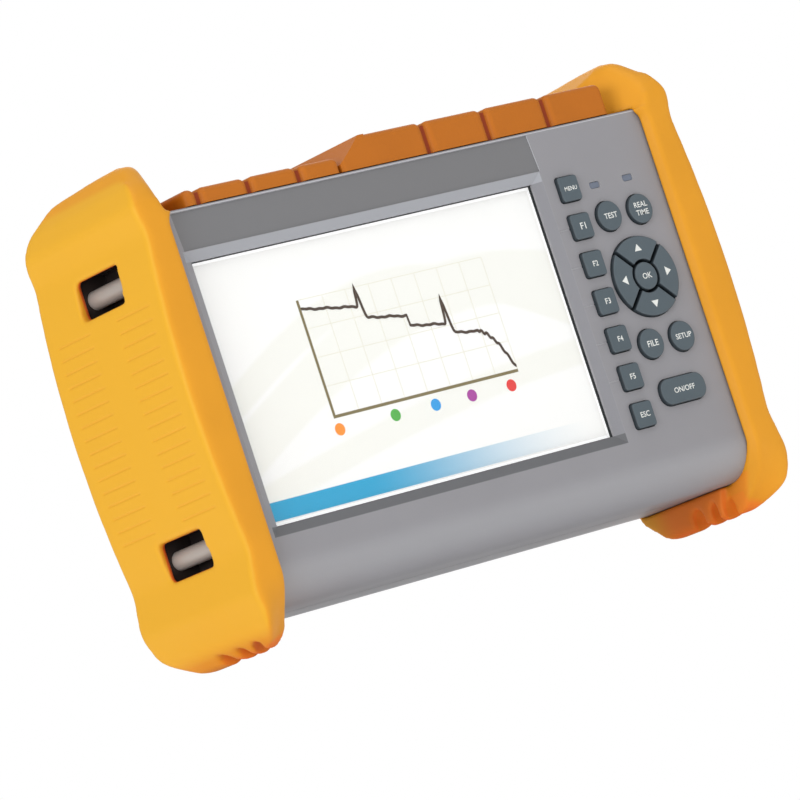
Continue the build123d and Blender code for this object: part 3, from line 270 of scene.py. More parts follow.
@dataclass(frozen=True)
class Moulded:
    """Moulded plastic or rubber with a fine grain and slightly uneven colour.

    Attributes:
        grain_size, depth: Width and depth of one grain in metres.
        cloud: Share by which the colour varies over the piece.
        coat: Weight of a thin gloss layer.
        gloss: Strength of the mirror reflection.
        spread: How far the roughness varies.
    """

    name: str
    base: Colour
    roughness: float = 0.5
    grain: Grain = Grain.SATIN
    grain_size: float = 0.0007
    depth: float = 0.00002
    cloud: float = 0.06
    coat: float = 0.0
    gloss: float = 0.5
    spread: float = 0.12

    def canvas(self) -> Canvas:
        """Builds the material and returns its canvas, ready for extra marks."""
        canvas = Canvas(self.name)
        fine = canvas.noise(self.grain_size, 3.0)
        canvas.put(Base_Color=self.clouded(canvas), Specular_IOR_Level=self.gloss, Coat_Weight=self.coat,
                   Roughness=canvas.noise(0.02, 3.0) * self.spread + (self.roughness - self.spread / 2))
        if self.grain is Grain.PEBBLED:
            canvas.bump(canvas.pebbles(self.grain_size) + fine * 0.3, self.depth)
        elif self.grain is Grain.SATIN:
            canvas.bump(fine, self.depth)
        return canvas

    def clouded(self, canvas: Canvas) -> NodeSocket:
        """The base colour, a little darker and lighter in soft clouds."""
        dark, light = (tuple(min(1.0, part * factor) for part in self.base)
                       for factor in (1 - self.cloud, 1 + self.cloud))
        return canvas.mixed(canvas.noise(0.03, 4.0).over(0.5, 0.25), dark, light)

    def build(self) -> Material:
        """Builds the plain material."""
        return self.canvas().material


@dataclass(frozen=True)
class Metal:
    """Bare or plated metal with fine marks along one direction.

    Attributes:
        stretch: Factor of the marks along each axis.
        depth: Depth of the marks in metres.
        metallic: 1 for bare metal, less where it is blasted or coated.
        dull: Share of the colour that is left in its darker clouds.
    """

    name: str
    base: Colour
    roughness: float = 0.3
    stretch: Triple = (1.0, 1.0, 1.0)
    depth: float = 0.00001
    metallic: float = 1.0
    dull: float = 0.86

    def build(self) -> Material:
        """Builds the material."""
        canvas = Canvas(self.name)
        marks = canvas.noise(0.0015, 4.0, self.stretch)
        dark = tuple(part * self.dull for part in self.base)
        canvas.put(Metallic=self.metallic, Base_Color=canvas.mixed(canvas.noise(0.012, 3.0), dark, self.base),
                   Roughness=marks * 0.2 + (self.roughness - 0.1))
        canvas.bump(marks, self.depth)
        return canvas.material


@dataclass(frozen=True)
class CircuitBoard:
    """Green solder mask over faint copper runs of an even pitch."""

    name: str = "circuit_board"
    mask: Colour = srgb(22, 92, 52)
    run: Colour = srgb(34, 122, 70)
    pitch: float = 0.0025

    def build(self) -> Material:
        """Builds the material."""
        canvas = Canvas(self.name)
        across, along = ((place / self.pitch).repeat().over(0.5, 0.06) for place in (canvas.x, canvas.z))
        patch = canvas.noise(0.018, 0.0).over(0.5, 0.02)
        runs = (across * patch).either(along * (1 - patch))
        canvas.put(Base_Color=canvas.mixed(runs, self.mask, self.run),
                   Roughness=canvas.noise(0.004, 2.0) * 0.15 + 0.25)
        canvas.bump(runs, 0.00002)
        return canvas.material


@dataclass(frozen=True)
class StrapWindows:
    """Where the strap windows are, as a mask for the painted shade in and round them.

    Attributes:
        front, back: Y of their ends.
        heights: Lower and upper Z of each.
        soft: Half the width of the mask's edge.
    """

    front: float
    back: float
    heights: tuple[Pair, ...]
    soft: float = 0.00025

    def mask(self, canvas: Canvas, grow: float, inner: float, outer: float) -> Shade:
        """Share of the surface that lies in the windows.

        Args:
            canvas: Canvas of the finish.
            grow: How far the mask reaches past a window's edges.
            inner: Distance from the middle of the instrument where it starts.
            outer: Distance where it ends.

        Returns:
            1 inside and 0 outside.
        """
        deep = canvas.y.within(self.front - grow, self.back + grow, self.soft)
        side = abs(canvas.x).within(inner, outer, self.soft)
        rows = [canvas.z.within(low - grow, high + grow, self.soft) for low, high in self.heights]
        return deep * side * reduce(Shade.either, rows)


@dataclass(frozen=True)
class BumperRubber:
    """Orange rubber, with painted light that makes the broad outer faces yellower and painted shade that
    makes its recesses redder.

    Attributes:
        side, foot, deep: Colours of the painted light on the outer side, and of the painted shade on the
            foot's inner side and inside the strap windows.
        flank: Distance from the instrument's middle where the outer side starts.
        grip_low, grip_pitch, grip_count: Lowest grip line, distance and number of the lines in a column.
        grip_run: Where a column starts and ends, from the middle of the side.
        ankle, inside, fade: Upper, outer and rear end of the painted shade on the foot's inner side.
        notch, notch_end, notch_run: Height, outer end and length of the row of notches, which get painted
            shade too.
    """

    body: Moulded
    # Painted light on the outer side, then painted shade on the foot's inner side and in the strap windows.
    side: Colour = srgb(221, 164, 34)
    foot: Colour = srgb(236, 126, 36)
    deep: Colour = srgb(230, 104, 34)
    flank: float = 0.1195
    grip_low: float = 0.0486
    grip_pitch: float = 0.0048
    grip_count: int = 16
    grip_run: Pair = (0.0085, 0.0285)
    ankle: float = 0.0145
    inside: float = 0.1095
    fade: float = 0.022
    notch: float = 0.0085
    notch_end: float = 0.1165
    notch_run: Pair = (-0.0245, 0.0065)

    def build(self, windows: StrapWindows) -> Material:
        """Builds the material, given the strap windows."""
        canvas = self.body.canvas()
        across = abs(canvas.x)
        # Painted light: faces that turn outwards on the outer side are mixed towards the yellower side
        # colour.
        lit_outer_faces = canvas.facing(0).over(0.62, 0.3) * across.over(self.flank, 0.001)
        paint = canvas.mixed(lit_outer_faces, self.body.clouded(canvas), self.side)
        # Painted shade: the foot's inner side under the case and the row of notches are mixed towards the
        # redder foot colour.
        inner = (1 - across.over(self.inside, 0.0008)) * (1 - canvas.z.over(self.ankle, 0.0006))
        inner = inner * (1 - canvas.y.over(self.fade, 0.008))
        notches = (1 - across.over(self.notch_end, 0.002)) * (1 - canvas.z.over(self.notch, 0.001))
        notches = notches * canvas.y.within(*self.notch_run, 0.0015)
        paint = canvas.mixed(inner.either(notches * 0.7), paint, self.foot)
        top = self.grip_low + self.grip_count * self.grip_pitch
        rows = ((canvas.z - self.grip_low) / self.grip_pitch).repeat().within(0.43, 0.57, 0.09)
        columns = abs(canvas.y).within(*self.grip_run, 0.0012)
        groove = rows * columns * canvas.z.within(self.grip_low, top, 0.0005) * lit_outer_faces
        # Painted shade in the grip grooves, which the bump below also cuts.
        paint = canvas.mixed(groove * 0.13, paint, self.foot)
        # Painted shade inside the strap windows, in the redder deep colour.
        canvas.put(Base_Color=canvas.mixed(windows.mask(canvas, 0.0012, 0.115, 0.1222), paint, self.deep))
        canvas.bump(canvas.noise(self.body.grain_size, 3.0) * 0.1 - groove, 0.0002)
        return canvas.material


@dataclass(frozen=True)
class GreyCase:
    """Grey satin case with painted light on the upper edge and painted shade on the right and lower edges of
    the bevel round the sunk display.

    Attributes:
        bevel, sunk: Width and depth of the bevel round the display.
        lit_top_edge, shaded_right_edge, shaded_low_edge: Painted light on that bevel's upper side, and
        painted shade on its right and lower sides.
        strip, glint: Painted shade on the sunk strip over the display, and painted highlight on its step.
        line: Colour inside the engraved guide lines.
        brow, chin: Painted shade on the rounded upper edge, and painted highlight on the bend over the lower
            one.
        chin_run: Heights between which that bend lies.
        pocket, pocket_run: Colour and reach of the painted shade in the pockets of the strap pins.
    """

    body: Moulded
    bevel: float = 0.0038
    sunk: float = 0.0022
    # Painted light on the bevel's upper side, painted shade on its right and lower sides.
    lit_top_edge: Colour = srgb(156, 158, 164)
    shaded_right_edge: Colour = srgb(132, 132, 137)
    shaded_low_edge: Colour = srgb(98, 99, 102)
    # Painted shade on the sunk strip, and painted highlight on its step.
    strip: Colour = srgb(114, 114, 116)
    glint: Colour = srgb(196, 197, 202)
    line: Colour = srgb(168, 168, 172)
    # Painted shade on the rounded upper edge, and painted highlight on the bend over the lower edge.
    brow: Colour = srgb(112, 112, 116)
    chin_highlight: Colour = srgb(154, 154, 158)
    chin_run: Pair = (0.0155, 0.0255)
    pocket_shade: Colour = srgb(44, 36, 34)
    pocket_run: Pair = (0.107, 0.13)

    def plain(self, windows: StrapWindows) -> Material:
        """Builds the material of the rear shell, which has only the painted shade in the pockets."""
        canvas = self.body.canvas()
        return self.finished(canvas, self.body.clouded(canvas), windows)

    def finished(self, canvas: Canvas, paint: Value, windows: StrapWindows) -> Material:
        """Paints shade into the pockets of the strap pins and returns the material."""
        # Painted shade in the pockets of the strap pins.
        share = windows.mask(canvas, 0.0016, *self.pocket_run)
        canvas.put(Base_Color=canvas.mixed(share, paint, self.pocket_shade))
        return canvas.material

    def build(self, low: Vector, high: Vector, windows: StrapWindows) -> Material:
        """Builds the material of the front shell.

        Args:
            low: Lower left corner of the visible display.
            high: Its upper right corner.
            windows: The strap windows.

        Returns:
            The material.
        """
        canvas = self.body.canvas()
        soft = 0.0001
        bevel, face, brow = self.bevel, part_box("front_case")[0].y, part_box("front_case")[1].z
        sunk = canvas.y.within(face + 0.00008, face + self.sunk, 0.00005)
        wide = sunk * canvas.x.within(low.x - bevel, high.x + bevel, soft)
        tall = sunk * canvas.z.within(low.z - bevel, high.z + bevel, soft)
        above = canvas.z.over(high.z + bevel, soft)
        beside = canvas.x.over(high.x + bevel, soft) * canvas.z.within(low.z, high.z, soft)
        paint = self.body.clouded(canvas)
        for share, colour in (
                # Painted shade on the bevel's right and lower sides, and painted light on its upper side.
                (tall * canvas.x.within(high.x, high.x + bevel, soft), self.shaded_right_edge),
                (wide * canvas.z.within(low.z - bevel, low.z, soft), self.shaded_low_edge),
                (wide * canvas.z.within(high.z, high.z + bevel, soft), self.lit_top_edge),
                # Painted shade on the sunk strip over the display.
                (sunk * above, self.strip),
                # Painted highlight along the step over the display.
                (canvas.y.within(face + 0.00003, face + 0.00042, 0.00002) * above, self.glint),
                (canvas.y.within(face + 0.00003, face + 0.0004, 0.00002) * beside, self.line),
                # Painted highlight on the bend over the lower edge.
                (canvas.z.within(*self.chin_run, 0.004) * 0.8, self.chin_highlight),
                # Painted shade on the rounded upper edge.
                (canvas.z.over(brow - 0.0007, 0.0003) * 0.7, self.brow)):
            paint = canvas.mixed(share, paint, colour)
        return self.finished(canvas, paint, windows)


@dataclass(frozen=True)
class KeyRubber:
    """Dark rubber of the keys, with painted shade that makes their skirts darker than their faces."""

    body: Moulded
    shaded_skirt: Colour = srgb(44, 53, 59)

    def build(self) -> Material:
        """Builds the material."""
        canvas = self.body.canvas()
        # Painted shade: surfaces that don't face the front are mixed towards the darker skirt colour.
        face = canvas.facing(1).over(0.72, 0.2)
        canvas.put(Base_Color=canvas.mixed(face, self.shaded_skirt, self.body.clouded(canvas)))
        return canvas.material


@dataclass(frozen=True)
class CoverRubber:
    """Orange rubber of the port covers, with painted shade in the grooves between the pillows.

    Attributes:
        deep: Colour of the painted shade in the grooves.
        wide, tall: Half the width and the depth of a groove.
    """

    body: Moulded
    # Colour of the painted shade in the grooves.
    deep: Colour = srgb(140, 52, 12)
    wide: float = 0.0009
    tall: float = 0.0015

    def build(self, grooves: Sequence[float], top: float) -> Material:
        """Builds the material of one cover.

        Args:
            grooves: X of each groove.
            top: Z of the cover's top.

        Returns:
            The material.
        """
        canvas = self.body.canvas()
        # Painted shade in the grooves between the pillows, below the cover's top face.
        near = [canvas.x.within(place - self.wide, place + self.wide, 0.0003) for place in grooves]
        share = reduce(Shade.either, near) * (1 - canvas.z.over(top - self.tall * 0.6, self.tall * 0.35))
        canvas.put(Base_Color=canvas.mixed(share, self.body.clouded(canvas), self.deep))
        return canvas.material


@dataclass(frozen=True)
class Glass:
    """Clear window with a light hard coat and faint smears."""

    name: str = "screen_glass"
    tint: Colour = srgb(236, 240, 242)
    bend: float = 1.45

    def build(self) -> Material:
        """Builds the material."""
        canvas = Canvas(self.name)
        canvas.put(Base_Color=self.tint, IOR=self.bend, Roughness=canvas.noise(0.05, 2.0) * 0.04 + 0.06,
                   Alpha=canvas.noise(0.04, 3.0) * 0.03 + 0.02)
        canvas.material.surface_render_method = "BLENDED"
        return canvas.material


@dataclass(frozen=True)
class DisplayPicture:
    """Idle picture of the display: pale paper with soft waves and a blue band along its foot.

    Attributes:
        paper, wave, band: Colours of the paper, the waves and the band's left end.
        foot, crest: Height of the band's lower and upper edge over the picture's.
        glow: Strength of the picture's own light.
        waves: Start, rise, bend and thickness of each wave, as shares of the picture.
    """

    paper: Colour = srgb(241, 241, 239)
    wave: Colour = srgb(236, 236, 230)
    band: Colour = srgb(16, 156, 200)
    foot: float = 0.0018
    crest: float = 0.0085
    glow: float = 0.08
    waves: tuple[tuple[float, float, float, float], ...] = (
        (0.18, 0.42, 2.1, 0.20), (0.40, 0.30, 3.0, 0.12), (0.05, 0.25, 1.4, 0.10))

    def build(self, low: Vector, high: Vector) -> Material:
        """Builds the material between the lower left and upper right corner of the picture."""
        canvas = Canvas("display_picture")
        across = (canvas.x - low.x) / (high.x - low.x)
        up = (canvas.z - low.z) / (high.z - low.z)
        paint: Value = self.paper
        for start, rise, bend, thick in self.waves:
            line = canvas.maths("SINE", across * bend) * rise + start
            paint = canvas.mixed((up - line).within(0.0, thick, 0.012), paint, self.wave)
        water = canvas.mixed(across.over(0.63, 0.36), self.band, self.paper)
        paint = canvas.mixed((canvas.z - low.z).within(self.foot, self.crest, 0.00015), paint, water)
        canvas.put(Base_Color=paint, Emission_Color=paint, Emission_Strength=self.glow, Roughness=0.35)
        return canvas.material


@dataclass(frozen=True)
class Ink:
    """Printed or lit mark of one colour, a little worn, with a share of its own light."""

    name: str
    base: Colour
    glow: float = 0.0

    def build(self) -> Material:
        """Builds the material."""
        canvas = Canvas(self.name)
        worn = tuple(part * 0.9 for part in self.base)
        paint = canvas.mixed(canvas.noise(0.0006, 2.0).over(0.45, 0.2), worn, self.base)
        canvas.put(Base_Color=paint, Roughness=0.55)
        if self.glow:
            canvas.put(Emission_Color=paint, Emission_Strength=self.glow)
        return canvas.material


def linked(name: str, data: ID) -> Object:
    """Makes an object of some data and puts it in the scene."""
    made = bpy.data.objects.new(name, data)
    bpy.context.scene.collection.objects.link(made)
    return made


def piece(name: str, mesh: Mesh, material: Material, body: str,
          smooth: bool = False) -> Object:
    """Makes a piece from a mesh that is already in place.

    Args:
        name: Name of the piece.
        mesh: Its mesh, in metres.
        material: Its finish.
        body: CAD body that carries it.
        smooth: Whether its faces are shaded smooth.

    Returns:
        The object, riding on its body.
    """
    made = linked(name, mesh)
    mesh.materials.append(material)
    for polygon in mesh.polygons:
        polygon.use_smooth = smooth
    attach(made, body)
    return made


def mesh_of(name: str, fill: Callable[[BMesh], object]) -> Mesh:
    """Builds a mesh with a function that fills a bmesh, and turns its faces outwards."""
    work = bmesh.new()
    fill(work)
    bmesh.ops.recalc_face_normals(work, faces=work.faces)
    mesh = bpy.data.meshes.new(name)
    work.to_mesh(mesh)
    work.free()
    return mesh


def drawn_out(work: BMesh, face: BMFace, shift: Sequence[float]) -> BMFace:
    """Extrudes a face by a shift, leaves no wall inside, and returns the face at the new end."""
    joined = any(len(edge.link_faces) > 1 for edge in face.edges)
    grown = bmesh.ops.extrude_face_region(work, geom=[face])["geom"]
    end = next(part for part in grown if isinstance(part, BMFace))
    bmesh.ops.translate(work, vec=shift, verts=list(end.verts))
    if joined:
        bmesh.ops.delete(work, geom=[face], context="FACES_ONLY")
    return end


def slab(work: BMesh, outline: Outline, front: float, back: float) -> None:
    """Adds a flat plate drawn in X and Z, between two Y planes.

    Args:
        work: Mesh that receives the plate.
        outline: Corners, in order.
        front: Y of its front face.
        back: Y of its back face.
    """
    face = work.faces.new([work.verts.new((x, front, z)) for x, z in outline])
    drawn_out(work, face, (0, back - front, 0))


def rectangle(x0: float, x1: float, z0: float, z1: float) -> Outline:
    """Corners of an upright rectangle."""
    return [(x0, z0), (x1, z0), (x1, z1), (x0, z1)]


def disc(x: float, z: float, radius: float, sides: int = 24) -> Outline:
    """Corners of a round outline."""
    turns = [2 * math.pi * index / sides for index in range(sides)]
    return [(x + radius * math.cos(turn), z + radius * math.sin(turn)) for turn in turns]


def evaluated_mesh(name: str, data: ID, *modifiers: tuple[str, dict[str, object]]) -> Mesh:
    """Mesh of a curve, text or mesh with its modifiers applied.

    Args:
        name: Name of the mesh.
        data: The curve, text or mesh.
        modifiers: Kinds of modifiers and their settings.

    Returns:
        The mesh, with no material.
    """
    holder = linked(name, data)
    for kind, settings in modifiers:
        modifier = holder.modifiers.new(kind.lower(), kind)
        for setting, value in settings.items():
            setattr(modifier, setting, value)
    bpy.context.view_layer.update()
    mesh = bpy.data.meshes.new_from_object(holder.evaluated_get(bpy.context.evaluated_depsgraph_get()))
    bpy.data.objects.remove(holder)
    mesh.materials.clear()
    return mesh


def wire(name: str, points: Outline, radius: float, front: float, flat: float = 0.06) -> Mesh:
    """Line of even width drawn through points of X and Z, almost flat.

    Args:
        name: Name of the mesh.
        points: Points of the line.
        radius: Half its width.
        front: Y of its middle.
        flat: Its thickness as a share of its width.

    Returns:
        The mesh in place.
    """
    curve = bpy.data.curves.new(name, "CURVE")
    curve.dimensions = "3D"
    curve.bevel_depth = radius
    curve.bevel_resolution = 1
    curve.use_fill_caps = True
    spline = curve.splines.new("POLY")
    spline.points.add(len(points) - 1)
    for point, (x, z) in zip(spline.points, points):
        point.co = (x, 0.0, z, 1.0)
    mesh = evaluated_mesh(name, curve)
    mesh.transform(Matrix.Translation((0, front, 0)) @ Matrix.Diagonal((1.0, flat, 1.0, 1.0)))
    return mesh


def eased(value: float, low: float, high: float) -> float:
    """Rises smoothly from 0 at one value to 1 at another."""
    share = min(1.0, max(0.0, (value - low) / (high - low)))
    return share * share * (3 - 2 * share)


def cad_nodes() -> dict[str, Object]:
    """The CAD nodes in the scene, by name."""
    return {made["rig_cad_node"]: made for made in bpy.data.objects if "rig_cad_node" in made}


@dataclass
class SoftBumpers:
    """The rubber boots with their moulded softness: rolled edges, a rounder top lobe and a set-back toe.

    Attributes:
        voxel: Size of the facets.
        passes: How often every point is eased towards its neighbours.
        lobe_passes: How often more in the top lobe's front corner.
        lobe: Least height, greatest depth and greatest distance from the middle of that corner.
        toe: How far the toe's inner corner is set back.
        toe_across, toe_up, toe_back: Where the setting back fades out, outwards, upwards and backwards.
    """

    voxel: float = 0.00095
    passes: int = 3
    lobe_passes: int = 24
    lobe: Triple = (0.1575, 0.017, 0.1205)
    toe: float = 0.0075
    toe_across: Pair = (0.1105, 0.1240)
    toe_up: Pair = (0.0035, 0.0240)
    toe_back: Pair = (0.010, 0.034)

    def build(self, rubber: Material) -> list[Object]:
        """Builds both boots of their rubber, each in place of its CAD node, which it hides."""
        made = []
        for side in ("left", "right"):
            node = side + "_bumper"
            boot = piece(side + "_boot", self.shape(node), rubber, "instrument", smooth=True)
            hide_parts(node)
            made.append(boot)
        return made

    def shape(self, node: str) -> Mesh:
        """Softens a merged copy of the CAD node's mesh."""
        work = bmesh.new()
        work.from_mesh(cad_nodes()[node].data)
        bmesh.ops.remove_doubles(work, verts=work.verts, dist=0.000002)
        merged = bpy.data.meshes.new(node + "_merged")
        work.to_mesh(merged)
        work.free()
        mesh = evaluated_mesh(node + "_soft", merged, ("REMESH", {"mode": "VOXEL", "voxel_size": self.voxel}))
        work = bmesh.new()
        work.from_mesh(mesh)
        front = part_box(node)[0].y
        least, deep, wide = self.lobe
        lobe = []
        for vertex in work.verts:
            across, back, height = abs(vertex.co.x), vertex.co.y - front, vertex.co.z
            share = (1 - eased(across, *self.toe_across)) * (1 - eased(height, *self.toe_up))
            vertex.co.y += self.toe * share * (1 - eased(back, *self.toe_back))
            if height > least and vertex.co.y - front < deep and across < wide:
                lobe.append(vertex)
        for verts, passes in ((work.verts, self.passes), (lobe, self.lobe_passes)):
            for _ in range(passes):
                bmesh.ops.smooth_vert(work, verts=verts, factor=0.5, use_axis_x=True, use_axis_y=True,
                                      use_axis_z=True)
        work.to_mesh(mesh)
        work.free()
        return mesh


@dataclass
class Display:
    """Picture on the display, its border and a generic backscatter trace.

    Attributes:
        lap: How far the case covers the display's edge.
        border, tuck, margin: Dark line round the picture, its part under the case, and pale line inside it.
        lift, thick: Step from one layer to the next, and thickness of a layer.
        across, up: Where the diagram starts and ends, as shares of the picture.
        axis, hair: Width of the axes and half that of a grid line.
        columns, rows: Number of fields of the grid.
        steps, stroke: Points of the trace and half its width.
        start, slope: Level of the trace at its start and its loss along the fibre.
        pulse, tail: Half the width of a peak, and the place where the signal starts to die away.
        events: Place, step down and peak of each event along the fibre.
        ripples: Height, pace and phase of the trace's waves.
        mark, drop: Radius of an event mark and its distance under the diagram.
    """

    lap: float = 0.003
    border: float = 0.0003
    tuck: float = 0.0006
    margin: float = 0.0009
    lift: float = 0.00006
    thick: float = 0.000036
    across: Pair = (0.26, 0.80)
    up: Pair = (0.34, 0.78)
    axis: float = 0.0011
    hair: float = 0.00012
    columns: int = 8
    rows: int = 4
    steps: int = 320
    stroke: float = 0.0006
    start: float = 0.92
    slope: float = 0.30
    pulse: float = 0.009
    tail: float = 0.86
    events: tuple[Triple, ...] = (
        (0.30, 0.10, 0.22), (0.52, 0.09, 0.0), (0.72, 0.08, 0.26))
    ripples: tuple[Triple, ...] = ((0.004, 61, 0), (0.003, 147, 1))
    mark: float = 0.0022
    drop: float = 0.0052
    marks: tuple[tuple[float, Colour], ...] = (
        (0.0, srgb(238, 132, 30)), (0.30, srgb(70, 158, 60)), (0.52, srgb(30, 140, 205)),
        (0.72, srgb(150, 50, 140)), (0.94, srgb(206, 44, 40)))

    def __post_init__(self) -> None:
        """Works out the corners of the visible picture, and of the diagram in it."""
        low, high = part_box("lcd_module")
        self.low = Vector((low.x + self.lap, low.y, low.z + self.lap))
        self.high = Vector((high.x - self.lap, low.y, high.z - self.lap))
        self.x0, self.x1 = (self.low.x + (self.high.x - self.low.x) * share for share in self.across)
        self.z0, self.z1 = (self.low.z + (self.high.z - self.low.z) * share for share in self.up)

    def build(self) -> list[Object]:
        """Builds the picture, its frame lines, the diagram and the event marks."""
        front = self.low.y - self.lift
        inset = self.margin + self.border
        print_front = front - self.lift
        made = [self.layer("display_picture", [self.inset(inset, inset)], front,
                           DisplayPicture().build(self.low, self.high))]
        for name, outer, inner, ink in (
                ("display_margin", self.border, inset, Ink("display_margin", srgb(250, 250, 250), 0.35)),
                ("display_edge", -self.tuck, self.border, Ink("display_edge", srgb(36, 38, 42)))):
            made.append(self.layer(name, self.ring(outer, inner), front, ink.build()))
        for name, plates, ink in (
                ("trace_axes", self.axes(), Ink("trace_axes", srgb(110, 98, 60), 0.3)),
                ("trace_grid", self.grid(), Ink("trace_grid", srgb(206, 204, 190), 0.35))):
            made.append(self.layer(name, plates, print_front, ink.build()))
        points = [(self.right(along), self.z0 + (self.z1 - self.z0) * self.level(along))
                  for along in (index / self.steps for index in range(self.steps + 1))]
        made.append(piece("trace_line", wire("trace_line", points, self.stroke, print_front - self.thick),
                          Ink("trace_line", srgb(62, 40, 18)).build(), "instrument"))
        for index, (place, colour) in enumerate(self.marks):
            name = "event_mark_%d" % (index + 1)
            spot = disc(self.right(place), self.z0 - self.drop, self.mark)
            made.append(self.layer(name, [spot], print_front, Ink(name, colour, 0.3).build()))
        return made

    def layer(self, name: str, plates: Sequence[Outline], front: float,
              material: Material) -> Object:
        """Thin piece of one or more flat plates.

        Args:
            name: Name of the piece.
            plates: Outline of each plate.
            front: Y of their front.
            material: Their finish.

        Returns:
            The piece.
        """
        mesh = mesh_of(name, lambda work: [slab(work, plate, front, front + self.thick) for plate in plates])
        return piece(name, mesh, material, "instrument")

    def inset(self, side: float, foot: float) -> Outline:
        """The picture's outline, drawn in at its sides and at its foot and head."""
        return rectangle(self.low.x + side, self.high.x - side, self.low.z + foot, self.high.z - foot)

    def ring(self, outer: float, inner: float) -> list[Outline]:
        """Four bars that frame the picture between two insets from its edge."""
        x0, x1, z0, z1 = self.low.x, self.high.x, self.low.z, self.high.z
        return [rectangle(x0 + outer, x1 - outer, z0 + outer, z0 + inner),
                rectangle(x0 + outer, x1 - outer, z1 - inner, z1 - outer),
                rectangle(x0 + outer, x0 + inner, z0 + inner, z1 - inner),
                rectangle(x1 - inner, x1 - outer, z0 + inner, z1 - inner)]

    def right(self, along: float) -> float:
        """X at a share of the fibre's length."""
        return self.x0 + (self.x1 - self.x0) * along

    def axes(self) -> list[Outline]:
        """The two axes."""
        return [rectangle(self.x0 - self.axis, self.x0, self.z0 - self.axis, self.z1),
                rectangle(self.x0, self.x1, self.z0 - self.axis, self.z0)]

    def grid(self) -> list[Outline]:
        """Upright grid lines, and level ones that stop at them."""
        hair, plates = self.hair, []
        for column in range(1, self.columns + 1):
            x = self.right(column / self.columns)
            plates.append(rectangle(x - hair, x + hair, self.z0, self.z1))
        for row in range(1, self.rows + 1):
            z = self.z0 + (self.z1 - self.z0) * row / self.rows
            for column in range(self.columns):
                left, right = (self.right((column + step) / self.columns) for step in (0, 1))
                plates.append(rectangle(left + hair, right - hair, z - hair, z + hair))
        return plates

    def level(self, along: float) -> float:
        """Height of the trace, from 0 to 1, at a share of the fibre's length."""
        value = self.start - self.slope * along
        for place, drop, peak in self.events:
            nearness = (along - place) / self.pulse
            value += peak * math.exp(-nearness * nearness) - drop * (along >= place)
        for height, pace, phase in self.ripples:
            value += height * math.sin(pace * along + phase)
        past = max(0.0, along - self.tail)
        return max(0.03, value - 18 * past * past + 0.012 * math.sin(260 * along) * (past > 0))


@dataclass
class KeyLegends:
    """Off-white legends printed on the keys.

    Attributes:
        lift, shift: How far the print stands before the key, and to the right of its middle.
        bold, leading: Fattening of the strokes and distance of two lines, as shares of the usual size.
        words: Legend of each key and the width of its widest line.
        arrows: Turn of each arrow key's triangle.
        reach, long, wide: Distance of the triangles from the middle of the pad, and their size.
    """

    lift: float = 0.00003
    shift: float = 0.0003
    bold: float = 0.012
    leading: float = 1.05
    words: tuple[tuple[str, str, float], ...] = (
        ("menu_key", "MENU", 0.0058), ("f1_key", "F1", 0.0025), ("f2_key", "F2", 0.0025),
        ("f3_key", "F3", 0.0025), ("f4_key", "F4", 0.0025), ("f5_key", "F5", 0.0025),
        ("esc_key", "ESC", 0.0044), ("test_key", "TEST", 0.0062), ("real_time_key", "REAL\nTIME", 0.0062),
        ("file_key", "FILE", 0.0052), ("setup_key", "SETUP", 0.0076), ("power_key", "ON/OFF", 0.0100),
        ("ok_key", "OK", 0.0044))
    arrows: tuple[tuple[str, float], ...] = (
        ("right_key", 0.0), ("up_key", 90.0), ("left_key", 180.0), ("down_key", 270.0))
    reach: float = 0.0107
    long: float = 0.0026
    wide: float = 0.0034

    def build(self) -> list[Object]:
        """Prints every key."""
        ink = Ink("key_print", srgb(226, 228, 224)).build()
        meshes = {node: self.letters(node, words, width) for node, words, width in self.words}
        meshes |= {node: self.triangle(node, turn) for node, turn in self.arrows}
        return [piece(node + "_legend", mesh, ink, node) for node, mesh in meshes.items()]

    def letters(self, node: str, words: str, width: float) -> Mesh:
        """Turns lines of text into a flat mesh that faces the user.

        Args:
            node: Key that carries them.
            words: The text.
            width: Width of the widest line.

        Returns:
            The mesh in place.
        """
        low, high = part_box(node)
        centre = Vector(((low.x + high.x) / 2 + self.shift, low.y - self.lift, (low.z + high.z) / 2))
        curve = bpy.data.curves.new(node + "_letters", "FONT")
        curve.body = words
        curve.align_x = "CENTER"
        curve.align_y = "CENTER"
        curve.space_line = self.leading
        curve.offset = self.bold
        curve.resolution_u = 3
        mesh = evaluated_mesh(curve.name, curve)
        across, up = ([vertex.co[axis] for vertex in mesh.vertices] for axis in (0, 1))
        middle = Vector(((min(across) + max(across)) / 2, (min(up) + max(up)) / 2, 0))
        size = Matrix.Scale(width / (max(across) - min(across)), 4)
        upright = Matrix.Rotation(math.pi / 2, 4, "X")
        mesh.transform(Matrix.Translation(centre) @ upright @ size @ Matrix.Translation(-middle))
        return mesh

    def triangle(self, node: str, turn: float) -> Mesh:
        """Thin triangle that points away from the pad's middle."""
        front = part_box(node)[0].y
        ok_low, ok_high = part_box("ok_key")
        middle = (ok_low + ok_high) / 2
        cos, sin = math.cos(math.radians(turn)), math.sin(math.radians(turn))
        tip, foot = self.reach + self.long / 2, self.reach - self.long / 2
        outline = [(middle.x + along * cos - across * sin, middle.z + along * sin + across * cos)
                   for along, across in ((tip, 0.0), (foot, self.wide / 2), (foot, -self.wide / 2))]
        return mesh_of(node + "_triangle", lambda work: slab(work, outline, front - self.lift, front))


